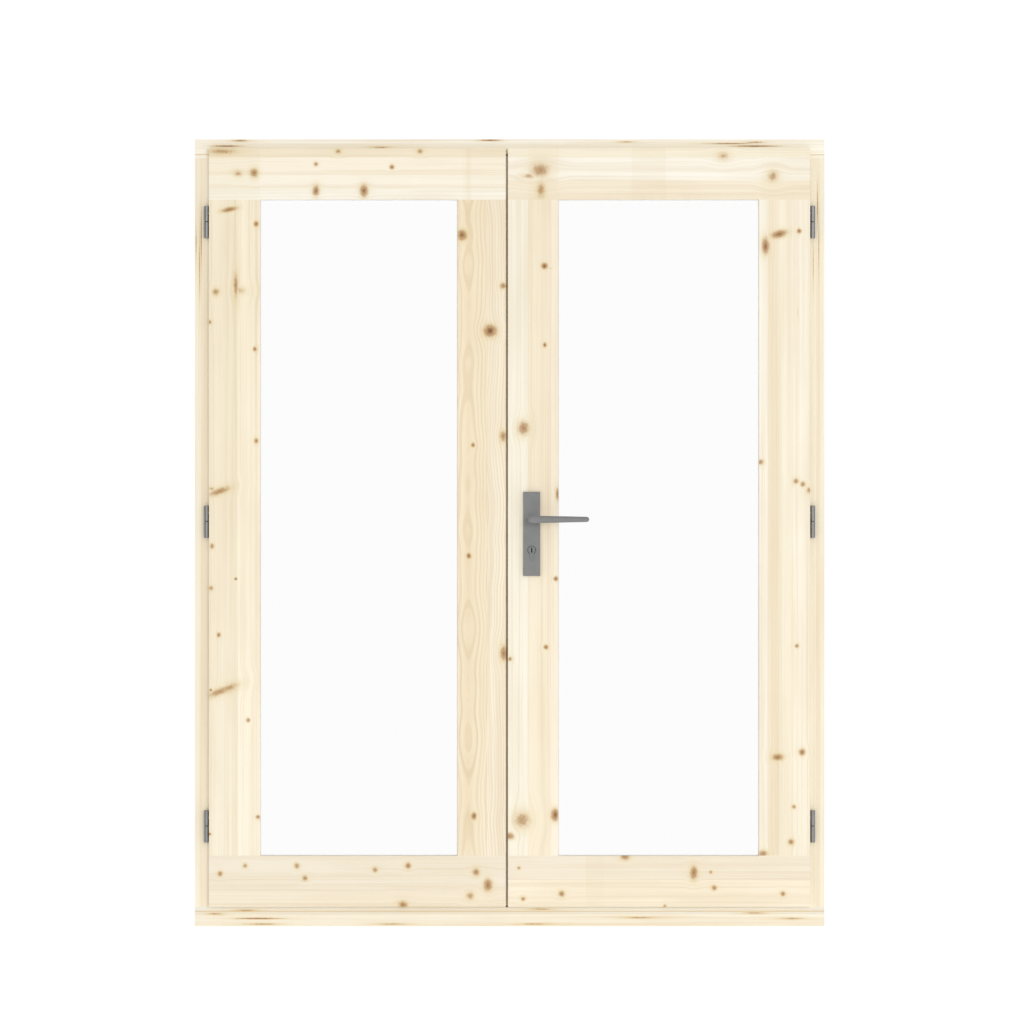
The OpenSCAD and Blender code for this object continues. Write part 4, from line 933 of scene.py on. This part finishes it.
# %% Eased edges
WOOD_EDGE = 0.6 * MM
METAL_EDGE = 0.35 * MM
EDGE_STEPS = 2
EDGE_ANGLE = 40
WOODEN = ["header", "sill", "left_jamb", "right_jamb"] + [
    f"{leaf}_{board}" for leaf, boards in (
        ("passive", ("hinge_stile", "meeting_stile", "top_rail", "bottom_rail", "beads")),
        ("active", ("hinge_stile", "lock_stile", "top_rail", "bottom_rail", "beads")))
    for board in boards]
HANDLES = ["outer_plate", "inner_plate", "outer_lever", "inner_lever"]
for names, width in ((WOODEN, WOOD_EDGE), (HANDLES, METAL_EDGE)):
    for name in names:
        easing = nodes[name].modifiers.new("eased_edges", "BEVEL")
        easing.width = width
        easing.segments = EDGE_STEPS
        easing.limit_method = "ANGLE"
        easing.angle_limit = math.radians(EDGE_ANGLE)
print("eased", len(WOODEN) + len(HANDLES), "pieces")

# %% [markdown]
# The studio is white all round. What the camera sees of it, straight or through glass, is pure
# white, while what lights the doors is softer, so that the pale wood keeps its colour. One large
# soft lamp on the right, a little higher than the doors, gives the shadow beside the left hinges
# and under the lever. The floor glows faintly, as paper that has light on it from all sides.

# %% Studio
SEEN_WHITE = 1.06
SOFT_LIGHT = 0.76
THROUGH_GLASS = 1.0
LAMP_SIZE = 2.8
LAMP_WATTS = 170
LAMP_PLACE = (2.9, -9.3, 2.2)
FLOOR_HALF = 3.9
FLOOR_PAINT = (0.93, 0.93, 0.93, 1)
FLOOR_GLOW = 0.36
world = bpy.data.worlds.new("white_studio")
bpy.context.scene.world = world
world.use_nodes = True
sky = world.node_tree
sky.nodes.clear()
path = sky.nodes.new("ShaderNodeLightPath")
behind_glass = range_of(sky, path.outputs["Is Transmission Ray"], 0, 1, SOFT_LIGHT, THROUGH_GLASS,
                        soft=False)
backdrop = sky.nodes.new("ShaderNodeBackground")
backdrop.inputs["Color"].default_value = (1, 1, 1, 1)
feed(sky, backdrop.inputs["Strength"],
     range_of(sky, path.outputs["Is Camera Ray"], 0, 1, behind_glass, SEEN_WHITE, soft=False))
sky_out = sky.nodes.new("ShaderNodeOutputWorld")
feed(sky, sky_out.inputs["Surface"], backdrop.outputs[0])

lamp_data = bpy.data.lights.new("soft_lamp", "AREA")
lamp_data.shape = "DISK"
lamp_data.size = LAMP_SIZE
lamp_data.energy = LAMP_WATTS
lamp = bpy.data.objects.new("soft_lamp", lamp_data)
bpy.context.scene.collection.objects.link(lamp)
lamp.location = LAMP_PLACE
door_middle = Vector((0, 0, door_height / 2))
lamp.rotation_euler = (door_middle - lamp.location).to_track_quat("-Z", "Y").to_euler()

floor_paint = bpy.data.materials.new("pale_floor")
floor_paint.use_nodes = True
floor_finish = floor_paint.node_tree.nodes["Principled BSDF"]
floor_finish.inputs["Base Color"].default_value = FLOOR_PAINT
floor_finish.inputs["Roughness"].default_value = 1.0
floor_finish.inputs["Specular IOR Level"].default_value = 0.0
floor_finish.inputs["Emission Color"].default_value = (1, 1, 1, 1)
floor_finish.inputs["Emission Strength"].default_value = FLOOR_GLOW
floor_corners = [(-FLOOR_HALF, -FLOOR_HALF, 0), (FLOOR_HALF, -FLOOR_HALF, 0),
                 (FLOOR_HALF, FLOOR_HALF, 0), (-FLOOR_HALF, FLOOR_HALF, 0)]
floor = new_piece("studio_floor", floor_corners, [(0, 1, 2, 3)], floor_paint)
print("lamp at", tuple(round(part, 2) for part in lamp.location))
